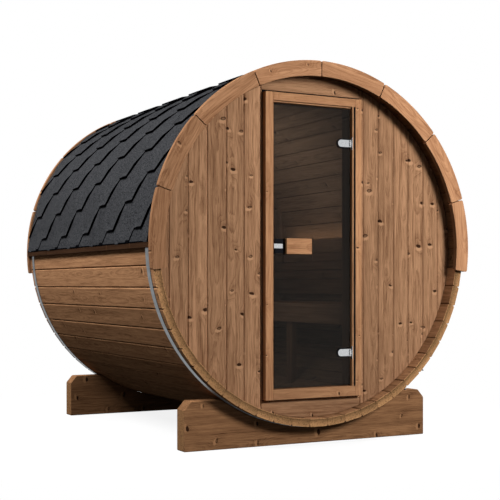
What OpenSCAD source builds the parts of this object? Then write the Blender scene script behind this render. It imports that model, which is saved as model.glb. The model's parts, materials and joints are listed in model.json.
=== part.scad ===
// Barrel sauna: a cylinder of staves laid on two cradles, with a recessed front wall, a framed glass
// door, a planked rear wall, ring trims, steel hoops, a shingled upper half and one side bench.
// Millimetres. X is to the right, the barrel lies along Y with its door at the -Y end, and Z is up.
// The origin is on the ground, under the middle of the barrel.

/* [Barrel] */
// Length of the staves
barrel_len = 2140; // [1500:10:3000]
// Distance from the barrel's axis to the flat outer face of a stave
stave_face_r = 1010.5; // [840:0.5:1250]
// Thickness of a stave
stave_t = 45; // [35:1:60]
// Depth from the stave ends to the face of each end wall
wall_setback = 78; // [60:1:120]
// Thickness of the end walls
wall_t = 28; // [18:1:45]

/* [Cradles] */
// Length of a cradle beam, across the barrel
cradle_len = 1572; // [1300:2:1900]
// Height of a cradle beam
cradle_h = 269; // [220:1:320]
// Thickness of a cradle beam, along the barrel
cradle_t = 95; // [60:1:140]
// Height of the wood left under the barrel
cradle_web = 99; // [60:1:130]
// Gap between a hoop and the cradle beside it
cradle_gap = 8; // [4:1:200]
// Size of the cut-off top corners, across and down
cradle_chamfer = [41, 47]; // [10:1:80]

/* [Ring trims] */
// How far a trim stands out past the stave corners
trim_over = 18; // [12:1:40]
// Width of a trim, measured from the axis outwards
trim_w = 88; // [64:1:130]
// Thickness of a trim
trim_t = 32; // [15:1:45]
// Angle that one trim board covers
trim_deg = 24.5; // [20:0.5:28]
// Gap between two trim boards
trim_gap = 5; // [1:0.5:10]

/* [Hoops] */
// Width of a steel hoop
hoop_w = 42; // [20:1:60]
// Thickness of a steel hoop
hoop_t = 2; // [1:0.5:4]
// Depth from the stave ends to a hoop's outer edge
hoop_setback = 37; // [20:1:60]
// Angle of the tensioner's middle, from the top towards +X
tensioner_deg = 138.7; // [120:0.1:150]
// Distance between the tensioner's two lugs
tensioner_gap = 170; // [120:1:220]
// Height of a tensioner lug
lug_h = 27; // [18:1:40]
// Radius of the tensioner's threaded rod
rod_r = 5; // [3:0.5:8]

/* [Roof] */
// Thickness of the shingle cover
roof_t = 6; // [4:0.5:12]
// Angle at which the cover starts to flare out to the eaves
flare_deg = 83; // [78:0.5:86]
// How far the cover's lower edge stands out past the batten
drip = 2.5; // [0:0.5:10]
// Height of an eaves batten
batten_h = 29; // [20:1:45]
// Width of an eaves batten, outwards from the staves
batten_w = 22; // [15:1:40]

/* [Door frame] */
// Half of the frame's overall width
frame_half_w = 315; // [270:1:360]
// Width of the frame's board on the catch side
casing_left_w = 49; // [30:1:60]
// Width of the frame's board on the hinge side
casing_right_w = 41; // [30:1:60]
// Height of the frame's head board
casing_head_h = 46; // [30:1:60]
// Height of the frame's bottom board
casing_sill_h = 58; // [30:1:70]
// How far the frame stands out before the wall's boards
casing_t = 34; // [25:1:45]
// Width of the slot between the frame and the wall's boards, all round
slot_w = 12; // [4:1:20]
// Height of the infill over the door, at its middle
infill_top_h = 105; // [90:1:160]
// Height of the infill under the door, at its middle
infill_bottom_h = 98; // [90:1:160]
// Depth of the frame's lining behind the wall's face
lining_d = 80; // [50:1:140]
// Width of the rebate's step at the head and the catch side
rebate_w = 7; // [4:1:12]
// Width of the black seal beside the hinge strip
seal_w = 12; // [6:1:16]
// How far the seal lies back behind the frame's face
seal_recess = 5; // [3:1:12]
// Width of the strip that carries the hinges
strip_w = 9; // [8:1:20]

/* [Door] */
// Thickness of the glass
glass_t = 8; // [6:1:12]
// Gap between the glass and the frame, all round
glass_gap = 6; // [5:0.5:9]
// How far the glass lies back behind the frame's face
glass_recess = 16; // [15:1:22]
// Distance from the glass's top edge down to the upper hinge's middle
hinge_drop = 197.5; // [60:0.5:400]
// Distance from the glass's bottom edge up to the lower hinge's middle
hinge_rise = 185.5; // [60:0.5:400]
// Length and height of a hinge clamp
clamp_size = [74, 42]; // [30:1:100]
// Thickness of a hinge clamp's cheek
clamp_t = 6; // [4:0.5:8]
// Thickness and height of a hinge's plate
plate_size = [3, 74]; // [2:1:100]
// How far a hinge's plate reaches out before the frame's face
plate_out = 2; // [0:1:6]
// Radius of a hinge knuckle
knuckle_r = 6; // [5:0.5:7]
// Radius of a hinge pin
pin_r = 3.5; // [2.5:0.5:4]
// Length, thickness and height of a handle block
handle_size = [164, 22, 88]; // [20:1:200]
// Distance from the glass's free edge to the handle
handle_inset = 68; // [62:1:120]
// Height of the handle's middle over the barrel's axis
handle_z = -3; // [-150:1:150]
// Length, thickness and height of the catch's black base
catch_base = [54, 6, 80]; // [4:1:100]
// Length, thickness and height of the catch's metal bar
catch_bar = [56, 7, 27]; // [4:1:100]

/* [Bench] */
// Distance from the middle of the room to the bench's front
bench_edge = 400; // [360:1:450]
// Depth of the seat's top under the barrel's axis
seat_drop = 337; // [250:1:400]
// Width and thickness of a seat slat
seat_slat = [90, 22]; // [15:1:120]
// Gap between two seat slats
seat_gap = 8; // [4:1:15]
// Height of the board under the seat's front edge
apron_h = 102; // [60:1:140]
// Width and height of a bearer under the seat
bearer_size = [45, 45]; // [30:1:60]
// Size of a leg, across the barrel and along it
leg_size = [38, 70]; // [30:1:90]
// Distance from the walls to the end legs
leg_inset = 110; // [60:1:180]
// Depth of the backrest's lower edge under the barrel's axis
back_drop = 283; // [240:1:330]
// Heights of the backrest's slats, from the lowest up
back_slats = [106, 54, 54, 54, 95]; // [40:1:120]
// Gap between two backrest slats
back_gap = 6; // [4:1:12]
// Space kept behind the backrest's face, to the staves at axis height
back_space = 115; // [90:1:160]

/* [Hidden] */
$fn = 96;

// A hair of air between round faces that lie against each other.
fit = 0.3;
// The same between flat cuts that meet on a wall's round outline.
hair = 0.05;
// Staves in the top run, in each of the four runs down a side, and in the bottom run.
top_run = 5;
side_runs = [6, 5, 5, 6];
bottom_run = 5;
stave_count = top_run + 2 * (side_runs[0] + side_runs[1] + side_runs[2] + side_runs[3]) + bottom_run;
stave_deg = 360 / stave_count;
corner_r = stave_face_r / cos(stave_deg / 2);
inner_face_r = stave_face_r - stave_t;
inner_corner_r = inner_face_r / cos(stave_deg / 2);

front_y = -barrel_len / 2;
rear_y = barrel_len / 2;
axis_z = cradle_web + corner_r + fit;

front_wall_y = front_y + wall_setback;
room_front_y = front_wall_y + wall_t;
rear_wall_y = rear_y - wall_setback;
room_rear_y = rear_wall_y - wall_t;
room_len = room_rear_y - room_front_y;

trim_r = corner_r + trim_over;
trim_count = 8;

hoop_in_r = corner_r + fit;
hoop_out_r = hoop_in_r + hoop_t;
lug_t = 4;
nut_r = 9;
nut_t = 8;
rod_out_r = hoop_out_r + lug_h / 2;
hoop_opening_deg = 2 * asin((tensioner_gap / 2 - lug_t) / hoop_in_r);

roof_step = stave_deg / 2;
// The cover follows short flats, so its corners lie this much further out than its faces.
roof_in_r = (hoop_out_r + fit) / cos(roof_step / 2);
roof_out_r = roof_in_r + roof_t;
batten_x = corner_r + fit;
batten_out_x = batten_x + batten_w;
batten_top_z = 4;
eaves_x = batten_out_x + drip;

// The door is placed from the barrel's axis; heights here are over the axis.
hole_half_w = frame_half_w + slot_w;
hole_top_z = inner_face_r - infill_top_h;
hole_bottom_z = -(inner_face_r - infill_bottom_h);
casing_top_z = hole_top_z - slot_w;
casing_bottom_z = hole_bottom_z + slot_w;
casing_front_y = front_wall_y - casing_t;
casing_left_x = -frame_half_w + casing_left_w;
casing_right_x = frame_half_w - casing_right_w;
head_z = casing_top_z - casing_head_h;
sill_z = casing_bottom_z + casing_sill_h;
rebate_x = casing_left_x + rebate_w;
rebate_z = head_z - rebate_w;
strip_x = casing_right_x - seal_w - strip_w;
lining_back_y = front_wall_y + lining_d;

glass_y = casing_front_y + glass_recess;
glass_back_y = glass_y + glass_t;
glass_left_x = rebate_x + glass_gap;
glass_right_x = strip_x - glass_gap;
glass_top_z = rebate_z - glass_gap;
glass_bottom_z = sill_z + glass_gap;

// The hinge pins stand in front of the glass, beside the hinge strip.
hinge_z = [glass_top_z - hinge_drop, glass_bottom_z + hinge_rise];
pin_gap = 0.05;
knuckle_gap = 1;
fixed_knuckle_h = 24;
plate_x = strip_x - plate_size[0];
pin_x = plate_x - knuckle_r - 0.5;
pin_y = glass_y - knuckle_r - 2;
clamp_right_x = pin_x - knuckle_r - knuckle_gap;
catch_over = 7;

seat_top_z = -seat_drop;
seat_under_z = seat_top_z - seat_slat[1];
wall_clear = 6;
seat_limit_x = sqrt(pow(inner_face_r, 2) - pow(seat_under_z, 2)) - wall_clear;
seat_pitch = seat_slat[0] + seat_gap;
least_slat = 20;
seat_count = floor((seat_limit_x - least_slat - bench_edge) / seat_pitch) + 1;
apron_t = seat_slat[1];
leg_mid_y = [room_front_y + leg_inset, 0, room_rear_y - leg_inset];
back_x = inner_face_r - back_space;
back_t = seat_slat[1];
function back_base(i) = i == 0 ? -back_drop : back_base(i - 1) + back_slats[i - 1] + back_gap;
back_top_z = back_base(len(back_slats) - 1) + back_slats[len(back_slats) - 1];

wood = "#9b7052";
pale_wood = "#b58a68";
steel = "#aeb4b4";

// A point at a distance r from the barrel's axis, at an angle from the top towards +X.
function around(r, a) = [r * sin(a), r * cos(a)];

// Stands a drawing of X and Z up round the barrel's axis and carries it from y0 to y1.
module along(y0, y1) {
    translate([0, y1, axis_z]) rotate([90, 0, 0]) linear_extrude(y1 - y0) children();
}

// A box given by its two corners, with its heights over the barrel's axis.
module block(low, high) {
    translate([low[0], low[1], low[2] + axis_z]) cube(high - low);
}

// A sector of a disc, from angle a0 to a1, that reaches past radius r.
module sector(r, a0, a1) {
    steps = 4;
    reach = r / cos((a1 - a0) / steps / 2) + 1;
    polygon(concat([[0, 0]], [for (i = [0:steps]) around(reach, a0 + (a1 - a0) * i / steps)]));
}

module room_outline() {
    polygon([for (i = [0:stave_count - 1]) around(inner_corner_r, (i - 0.5) * stave_deg)]);
}

// The space inside the staves, which fitted pieces are cut to.
module room_space() {
    along(front_y, rear_y) room_outline();
}

// A run of staves, from stave number first, counted from the top towards +X.
module stave_run(first, count) {
    color(wood) along(front_y, rear_y) polygon(concat(
        [for (i = [first:first + count]) around(corner_r, (i - 0.5) * stave_deg)],
        [for (i = [first + count:-1:first]) around(inner_corner_r, (i - 0.5) * stave_deg)]));
}

// The number of the first stave in the side run n, counted down from the top.
function side_start(n) = n == 0 ? (top_run + 1) / 2 : side_start(n - 1) + side_runs[n - 1];
module side_run(n) { stave_run(side_start(n), side_runs[n]); }

module staves_top() { stave_run(-(top_run - 1) / 2, top_run); }
module staves_bottom() { stave_run((stave_count - bottom_run + 1) / 2, bottom_run); }
module staves_right_1() { side_run(0); }
module staves_right_2() { side_run(1); }
module staves_right_3() { side_run(2); }
module staves_right_4() { side_run(3); }
module staves_left_1() { mirror([1, 0, 0]) side_run(0); }
module staves_left_2() { mirror([1, 0, 0]) side_run(1); }
module staves_left_3() { mirror([1, 0, 0]) side_run(2); }
module staves_left_4() { mirror([1, 0, 0]) side_run(3); }

// A cradle beam from y0 on: a plank on edge, with cut-off top corners and a bed for the barrel.
module cradle(y0) {
    half = cradle_len / 2;
    top = cradle_h - axis_z;
    color(wood) along(y0, y0 + cradle_t) difference() {
        polygon([[-half, -axis_z], [half, -axis_z], [half, top - cradle_chamfer[1]],
            [half - cradle_chamfer[0], top], [-half + cradle_chamfer[0], top],
            [-half, top - cradle_chamfer[1]]]);
        circle(corner_r + fit, $fn = 180);
    }
}
cradle_setback = hoop_setback + hoop_w + cradle_gap;
module cradle_front() { cradle(front_y + cradle_setback); }
module cradle_rear() { cradle(rear_y - cradle_setback - cradle_t); }

// The part of an end wall that lies in a box of X and Z.
module wall_part(y0, low, high) {
    color(wood) along(y0, y0 + wall_t) intersection() {
        room_outline();
        translate(low) square(high - low);
    }
}
module front_wall_left() {
    wall_part(front_wall_y, [-corner_r, -corner_r], [-hole_half_w - hair, corner_r]);
}
module front_wall_right() {
    wall_part(front_wall_y, [hole_half_w + hair, -corner_r], [corner_r, corner_r]);
}
module front_wall_top() {
    wall_part(front_wall_y, [-hole_half_w, hole_top_z + hair], [hole_half_w, corner_r]);
}
module front_wall_bottom() {
    wall_part(front_wall_y, [-hole_half_w, -corner_r], [hole_half_w, hole_bottom_z - hair]);
}
module rear_wall() {
    wall_part(room_rear_y, [-corner_r, -corner_r], [corner_r, corner_r]);
}

// A ring trim of separate boards, which ends a little below the barrel's axis on both sides.
module ring_trim(y0) {
    gap_deg = trim_gap / trim_r * 180 / PI;
    first = -trim_deg * trim_count / 2;
    color(pale_wood) for (i = [0:trim_count - 1])
        along(y0, y0 + trim_t) intersection() {
            difference() {
                circle(trim_r, $fn = 180);
                circle(trim_r - trim_w, $fn = 180);
            }
            sector(trim_r, first + i * trim_deg + gap_deg / 2, first + (i + 1) * trim_deg - gap_deg / 2);
        }
}
module front_trim() { ring_trim(front_y - trim_t); }
module rear_trim() { ring_trim(rear_y); }

// A hoop from y0 on, open where its tensioner draws the ends together.
module hoop(y0) {
    color(steel) along(y0, y0 + hoop_w) difference() {
        circle(hoop_out_r, $fn = 180);
        circle(hoop_in_r, $fn = 180);
        sector(hoop_out_r, tensioner_deg - hoop_opening_deg / 2, tensioner_deg + hoop_opening_deg / 2);
    }
}
front_hoop_y = front_y + hoop_setback;
rear_hoop_y = rear_y - hoop_setback - hoop_w;
module front_hoop() { hoop(front_hoop_y); }
module rear_hoop() { hoop(rear_hoop_y); }

// Two lugs on the hoop's ends and the threaded rod with its nuts between them.
module tensioner(y0) {
    mid_y = y0 + hoop_w / 2;
    reach = tensioner_gap / 2;
    lug_in_r = sqrt(pow(hoop_out_r, 2) - pow(reach - lug_t, 2));
    color(steel) translate([0, mid_y, axis_z]) rotate([0, tensioner_deg, 0]) {
        for (side = [-1, 1]) {
            translate([side * (reach - lug_t / 2) - lug_t / 2, -hoop_w / 2, lug_in_r + fit])
                cube([lug_t, hoop_w, rod_out_r + lug_h / 2 - lug_in_r]);
            translate([side * (reach + nut_t / 2), 0, rod_out_r]) rotate([0, 90, 0])
                cylinder(h = nut_t, r = nut_r, $fn = 6, center = true);
        }
        translate([0, 0, rod_out_r]) rotate([0, 90, 0])
            cylinder(h = tensioner_gap + 3 * nut_t, r = rod_r, center = true);
    }
}
module front_tensioner() { tensioner(front_hoop_y); }
module rear_tensioner() { tensioner(rear_hoop_y); }

// Half of the shingle cover, from the top down the +X side, flared out over the eaves batten.
module roof_half() {
    steps = floor(flare_deg / roof_step);
    color("#3f4145") along(front_y, rear_y) polygon(concat(
        [for (i = [0:steps]) around(roof_out_r, i * roof_step)],
        [[eaves_x, batten_top_z + fit], [eaves_x - roof_t, batten_top_z + fit]],
        [for (i = [steps:-1:0]) around(roof_in_r, i * roof_step)]));
}
module roof_right() { roof_half(); }
module roof_left() { mirror([1, 0, 0]) roof_half(); }

// The batten that the cover's lower edge lies on, let in over the hoops.
module eaves_batten() {
    color("#3a2a20") difference() {
        block([batten_x, front_y, batten_top_z - batten_h], [batten_out_x, rear_y, batten_top_z]);
        for (y0 = [front_hoop_y, rear_hoop_y])
            along(y0 - fit, y0 + hoop_w + fit) circle(hoop_out_r + fit, $fn = 180);
    }
}
module eaves_batten_right() { eaves_batten(); }
module eaves_batten_left() { mirror([1, 0, 0]) eaves_batten(); }

// A side of the door frame: the lining in the wall's hole and the casing board before it.
module door_jamb_left() {
    color(pale_wood) {
        block([-hole_half_w, front_wall_y, hole_bottom_z], [rebate_x, lining_back_y, hole_top_z]);
        block([-frame_half_w, casing_front_y, casing_bottom_z],
            [casing_left_x, front_wall_y, casing_top_z]);
        block([casing_left_x, glass_y, sill_z], [rebate_x, front_wall_y, head_z]);
    }
}
module door_jamb_right() {
    color(pale_wood) {
        block([strip_x, front_wall_y, hole_bottom_z], [hole_half_w, lining_back_y, hole_top_z]);
        block([casing_right_x, casing_front_y, casing_bottom_z],
            [frame_half_w, front_wall_y, casing_top_z]);
        block([strip_x, casing_front_y + 1, sill_z], [strip_x + strip_w, front_wall_y, head_z]);
    }
}
module door_head() {
    color(pale_wood) {
        block([rebate_x, front_wall_y, rebate_z], [strip_x, lining_back_y, hole_top_z]);
        block([casing_left_x, casing_front_y, head_z], [casing_right_x, front_wall_y, casing_top_z]);
        block([rebate_x, glass_y, rebate_z], [strip_x, front_wall_y, head_z]);
    }
}
module door_sill() {
    color(pale_wood) {
        block([rebate_x, front_wall_y, hole_bottom_z], [strip_x, lining_back_y, sill_z]);
        block([casing_left_x, casing_front_y, casing_bottom_z], [casing_right_x, front_wall_y, sill_z]);
    }
}

// The black seal that fills the groove between the hinge strip and the frame's board.
module door_seal() {
    color("#141414") block([strip_x + strip_w, casing_front_y + seal_recess, sill_z],
        [casing_right_x, front_wall_y, head_z]);
}

// The fixed halves of the hinges: a plate on the hinge strip's side and a bored knuckle.
module hinge_plates() {
    color(steel) for (z = hinge_z) difference() {
        union() {
            block([plate_x, casing_front_y - plate_out, z - plate_size[1] / 2],
                [strip_x, glass_y - 2, z + plate_size[1] / 2]);
            block([pin_x, pin_y - knuckle_r + 2, z - fixed_knuckle_h / 2],
                [plate_x, pin_y + knuckle_r - 2, z + fixed_knuckle_h / 2]);
            translate([pin_x, pin_y, axis_z + z])
                cylinder(h = fixed_knuckle_h, r = knuckle_r, center = true);
        }
        translate([pin_x, pin_y, axis_z + z])
            cylinder(h = fixed_knuckle_h + 2, r = pin_r + pin_gap, center = true);
    }
}

module door_glass() {
    color([0.12, 0.1, 0.09, 0.6])
        block([glass_left_x, glass_y, glass_bottom_z], [glass_right_x, glass_back_y, glass_top_z]);
}

// A hinge clamp's cheek: a plate with one half-round end, from y0 on.
module clamp_cheek(y0, z) {
    round_r = clamp_size[1] / 2;
    translate([0, 0, z]) along(y0, y0 + clamp_t) union() {
        translate([clamp_right_x - clamp_size[0] + round_r, 0]) circle(round_r);
        translate([clamp_right_x - clamp_size[0] + round_r, -round_r])
            square([clamp_size[0] - round_r, 2 * round_r]);
    }
}

// The moving halves of the hinges: two cheeks on the glass, two knuckles and the pin.
module hinge_clamps() {
    half_h = clamp_size[1] / 2;
    knuckle_h = half_h - fixed_knuckle_h / 2 - knuckle_gap;
    color(steel) for (z = hinge_z) {
        clamp_cheek(glass_back_y, z);
        union() {
            clamp_cheek(glass_y - clamp_t, z);
            for (side = [-1, 1]) translate([0, 0, side * (half_h - knuckle_h / 2)]) {
                translate([pin_x, pin_y, axis_z + z])
                    cylinder(h = knuckle_h, r = knuckle_r - 0.5, center = true);
                block([clamp_right_x - 2, glass_y - clamp_t, z - knuckle_h / 2],
                    [pin_x, pin_y + knuckle_r - 1, z + knuckle_h / 2]);
            }
            translate([pin_x, pin_y, axis_z + z])
                cylinder(h = clamp_size[1], r = pin_r, center = true);
        }
    }
}

// A wooden handle block, from y0 on.
module handle(y0) {
    x0 = glass_left_x + handle_inset;
    color(pale_wood) block([x0, y0, handle_z - handle_size[2] / 2],
        [x0 + handle_size[0], y0 + handle_size[1], handle_z + handle_size[2] / 2]);
}
module outer_handle() { handle(glass_y - handle_size[1]); }
module inner_handle() { handle(glass_back_y); }

// The catch at the glass's free edge: a metal bar on a black base.
module door_catch() {
    x0 = glass_left_x + 1;
    base_y = glass_y - catch_base[1];
    color("#15161a") block([x0, base_y, handle_z - catch_base[2] / 2],
        [x0 + catch_base[0], glass_y, handle_z + catch_base[2] / 2]);
    color(steel) block([glass_left_x - catch_over, base_y - catch_bar[1], handle_z - catch_bar[2] / 2],
        [glass_left_x - catch_over + catch_bar[0], base_y, handle_z + catch_bar[2] / 2]);
}

// The last slat is ripped down where the staves leave it less than its full width.
module bench_seat() {
    color(wood) for (i = [0:seat_count - 1]) {
        x0 = bench_edge + i * seat_pitch;
        x1 = min(x0 + seat_slat[0], seat_limit_x);
        block([x0, room_front_y, seat_under_z], [x1, room_rear_y, seat_top_z]);
    }
}
module bench_apron() {
    color(wood) block([bench_edge, room_front_y, seat_under_z - apron_h],
        [bench_edge + apron_t, room_rear_y, seat_under_z]);
}

// The bearers carry the slats from the apron to the staves.
module bench_bearers() {
    color(wood) for (y = leg_mid_y) intersection() {
        block([bench_edge + apron_t, y - bearer_size[0] / 2, seat_under_z - bearer_size[1]],
            [corner_r, y + bearer_size[0] / 2, seat_under_z]);
        room_space();
    }
}

// The legs stand on the staves, under the bearers.
module bench_legs() {
    color(wood) for (y = leg_mid_y) intersection() {
        block([bench_edge + apron_t, y - leg_size[1] / 2, -corner_r],
            [bench_edge + apron_t + leg_size[0], y + leg_size[1] / 2, seat_under_z - bearer_size[1]]);
        room_space();
    }
}

module backrest_slats() {
    color(wood) for (i = [0:len(back_slats) - 1])
        block([back_x, room_front_y, back_base(i)],
            [back_x + back_t, room_rear_y, back_base(i) + back_slats[i]]);
}

// The battens hold the backrest's slats off the staves.
module backrest_battens() {
    color(wood) for (y = leg_mid_y) intersection() {
        block([back_x + back_t, y - bearer_size[0] / 2, -back_drop],
            [corner_r, y + bearer_size[0] / 2, back_top_z]);
        room_space();
    }
}

cradle_front();
cradle_rear();
staves_top();
staves_right_1();
staves_right_2();
staves_right_3();
staves_right_4();
staves_bottom();
staves_left_1();
staves_left_2();
staves_left_3();
staves_left_4();
front_wall_left();
front_wall_right();
front_wall_top();
front_wall_bottom();
rear_wall();
front_trim();
rear_trim();
front_hoop();
rear_hoop();
front_tensioner();
rear_tensioner();
roof_left();
roof_right();
eaves_batten_left();
eaves_batten_right();
door_jamb_left();
door_jamb_right();
door_head();
door_sill();
door_seal();
hinge_plates();
door_glass();
hinge_clamps();
outer_handle();
inner_handle();
door_catch();
bench_seat();
bench_apron();
bench_bearers();
bench_legs();
backrest_slats();
backrest_battens();
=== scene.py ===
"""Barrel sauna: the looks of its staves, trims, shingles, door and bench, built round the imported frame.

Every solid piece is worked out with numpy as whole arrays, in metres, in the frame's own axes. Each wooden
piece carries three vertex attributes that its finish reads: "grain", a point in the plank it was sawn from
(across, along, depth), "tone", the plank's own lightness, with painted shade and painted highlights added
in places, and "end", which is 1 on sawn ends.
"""

import json
import logging
import math
from dataclasses import dataclass, field
from enum import Enum

import bpy
import numpy as np
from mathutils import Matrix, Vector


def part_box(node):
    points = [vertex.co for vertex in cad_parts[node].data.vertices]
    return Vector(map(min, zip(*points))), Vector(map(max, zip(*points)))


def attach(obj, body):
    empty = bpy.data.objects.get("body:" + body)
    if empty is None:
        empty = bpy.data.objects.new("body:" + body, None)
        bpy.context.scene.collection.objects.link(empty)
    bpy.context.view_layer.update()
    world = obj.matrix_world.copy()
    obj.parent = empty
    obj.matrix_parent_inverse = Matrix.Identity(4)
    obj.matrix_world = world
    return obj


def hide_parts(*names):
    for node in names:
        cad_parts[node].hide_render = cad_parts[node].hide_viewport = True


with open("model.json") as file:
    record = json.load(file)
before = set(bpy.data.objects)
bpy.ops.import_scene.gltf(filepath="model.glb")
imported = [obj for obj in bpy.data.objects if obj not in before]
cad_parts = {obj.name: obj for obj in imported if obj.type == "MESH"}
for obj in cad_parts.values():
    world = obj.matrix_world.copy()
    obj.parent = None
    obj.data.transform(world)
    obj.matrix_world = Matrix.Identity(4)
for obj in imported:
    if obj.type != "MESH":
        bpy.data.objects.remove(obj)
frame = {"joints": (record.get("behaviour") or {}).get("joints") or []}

log = logging.getLogger("barrel_sauna")
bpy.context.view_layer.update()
Point = tuple[float, float, float]
Colour = tuple[float, float, float]
Rng = np.random.Generator
X, Y, Z = 0, 1, 2
QUARTER = math.pi / 2
TINY = 1e-12
BEVEL = 0.7
SHARP_TURN = 25.0
SMOOTH_BELOW = 30.0
SEED = 7
WHITE = (1.0, 1.0, 1.0, 1.0)
# Columns say where a shell's own x, y and z go: a bar's length stands up, or lies along X.
STANDING = np.array([[1, 0, 0], [0, 0, -1], [0, 1, 0]], float)
LYING = np.array([[0, 1, 0], [0, 0, -1], [1, 0, 0]], float)


class Body(Enum):
    """The two rigid bodies of the frame."""

    BARREL = "barrel"
    DOOR = "door"


class Slot(Enum):
    """The record's material slots."""

    STAVE = "stave_wood"
    BOARD = "board_wood"
    TRIM = "trim_wood"
    DOOR_FRAME = "frame_wood"
    CRADLE = "cradle_wood"
    BATTEN = "batten_wood"
    BENCH = "bench_wood"
    SHINGLE = "roof_shingle"
    STEEL = "galvanised_steel"
    CHROME = "hinge_chrome"
    SEAL = "seal_rubber"
    GLASS = "tinted_glass"


# ---------------------------------------------------------------- surfaces


@dataclass
class Shell:
    """A closed surface, or several, with the plank coordinates of each vertex.

    Attributes:
        points: vertex positions, n by 3, in metres.
        faces: vertex numbers of each face.
        grain: plank coordinates (across, along, depth), n by 3, in metres.
        tone: lightness of each vertex's plank, with painted shade and painted highlights added in places; 0 is plain.
        end: 1 on a sawn end, and on a shingle's black cut edges and painted shadow band; 0 elsewhere.
    """

    points: np.ndarray
    faces: list[list[int]]
    grain: np.ndarray | None = None
    tone: np.ndarray | None = None
    end: np.ndarray | None = None

    def __post_init__(self) -> None:
        """Fills in the attributes that were left out."""
        count = len(self.points)
        self.grain = self.points.copy() if self.grain is None else self.grain
        self.tone = np.zeros(count) if self.tone is None else self.tone
        self.end = np.zeros(count) if self.end is None else self.end

    def outward(self) -> "Shell":
        """Turns every face over if the volume, summed as fans from the middle, is negative.

        Returns:
            The shell itself.
        """
        fans = [(f[0], f[i], f[i + 1]) for f in self.faces for i in range(1, len(f) - 1)]
        tri = self.points[np.array(fans)] - self.points.mean(axis=0)
        if np.einsum("ij,ij->i", tri[:, 0], np.cross(tri[:, 1], tri[:, 2])).sum() < 0:
            self.faces = [f[::-1] for f in self.faces]
        return self

    def moved(self, origin: Point | np.ndarray, axes: np.ndarray | None = None) -> "Shell":
        """Stands a copy elsewhere: new point = origin + axes * old point.

        Args:
            origin: where the shell's own origin goes.
            axes: its x, y and z in the frame, as columns; unturned if left out.

        Returns:
            The copy, with the same plank coordinates.
        """
        turned = self.points if axes is None else self.points @ axes.T
        return Shell(turned + np.asarray(origin, float), self.faces, self.grain, self.tone, self.end)

    def grained(self, across: np.ndarray, along: np.ndarray, depth: np.ndarray) -> "Shell":
        """Sets the plank coordinates."""
        self.grain = np.column_stack([across, along, depth])
        return self

    def sawn_from(self, rng: Rng, spread: float = 1.0) -> "Shell":
        """Gives the shell a plank of its own: a random stretch of the log, pith depth and lightness.

        Args:
            rng: the seeded source of chance.
            spread: how much the lightness varies.

        Returns:
            The shell itself.
        """
        shift = np.array([rng.uniform(-0.03, 0.03), rng.uniform(2.0, 60.0), rng.uniform(0.02, 0.11)])
        self.grain = self.grain * np.array([1.0, 1.0, rng.choice([-1.0, 1.0])]) + shift
        self.tone = np.full(len(self.points), np.clip(rng.normal(0.0, 0.5) * spread, -1.0, 1.0))
        return self


def joined(shells: list[Shell]) -> Shell:
    """Puts several shells into one, in order, keeping each one's attributes.

    Args:
        shells: the shells.

    Returns:
        One shell that holds them all.
    """
    starts = np.cumsum([0] + [len(s.points) for s in shells[:-1]])
    faces = [[v + int(k) for v in f] for s, k in zip(shells, starts) for f in s.faces]
    return Shell(np.vstack([s.points for s in shells]), faces, np.vstack([s.grain for s in shells]),
                 np.concatenate([s.tone for s in shells]), np.concatenate([s.end for s in shells]))


def skinned(rings: np.ndarray, sawn: bool = False) -> Shell:
    """Skins a row of closed rings with quads and closes both ends with flat faces.

    Args:
        rings: stations by ring vertices by 3.
        sawn: whether the two ends are sawn across the grain.

    Returns:
        The closed shell, facing outwards.
    """
    rings = np.asarray(rings)
    rows, count = rings.shape[:2]
    r, c = np.meshgrid(np.arange(rows - 1), np.arange(count), indexing="ij")
    n = (c + 1) % count
    quads = np.stack([r * count + c, r * count + n, (r + 1) * count + n, (r + 1) * count + c], axis=-1)
    caps = [list(range(count))[::-1], [(rows - 1) * count + i for i in range(count)]]
    end = np.zeros((rows, count))
    end[[0, -1]] = float(sawn)
    return Shell(rings.reshape(-1, 3), quads.reshape(-1, 4).tolist() + caps, end=end.reshape(-1)).outward()


def rounded_rectangle(width: float, height: float, radius: float, steps: int) -> np.ndarray:
    """A rectangle about the origin whose corners are quarter circles.

    Each corner's points are its centre plus radius times (cos a, sin a), with a over a quarter turn.

    Args:
        width: size along the first axis.
        height: size along the second.
        radius: corner radius.
        steps: stretches in each corner.

    Returns:
        Points, 4 * (steps + 1) by 2, anticlockwise.
    """
    radius = max(min(radius, width / 2, height / 2), 1e-6)
    angles = np.linspace(0, QUARTER, steps + 1)[None] + np.arange(4)[:, None] * QUARTER
    centres = np.array([[1, 1], [-1, 1], [-1, -1], [1, -1]]) * (width / 2 - radius, height / 2 - radius)
    return (centres[:, None] + radius * np.stack([np.cos(angles), np.sin(angles)], -1)).reshape(-1, 2)


def bar(across: float, length: float, depth: float, edge: float = 0.002, steps: int = 2) -> Shell:
    """A planed bar along Y about the origin, with all its edges rounded.

    A rounded rectangle is carried along Y; within one edge radius of each end it shrinks by
    edge * (1 - sin t) while it moves out by edge * (1 - cos t).

    Args:
        across: size along X.
        length: size along Y.
        depth: size along Z.
        edge: radius of the edges.
        steps: stretches round each edge.

    Returns:
        The bar, with its own coordinates as plank coordinates.
    """
    t = np.linspace(0, QUARTER, steps + 1)
    shrink, out = edge * (1 - np.sin(t)), length / 2 - edge * (1 - np.cos(t))
    rings = []
    for inset, y in zip(np.concatenate([shrink, shrink[::-1]]), np.concatenate([-out, out[::-1]])):
        flat = rounded_rectangle(across - 2 * inset, depth - 2 * inset, max(edge - inset, 1e-5), steps)
        rings.append(np.insert(flat, 1, y, axis=1))
    return skinned(rings, sawn=True)


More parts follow.
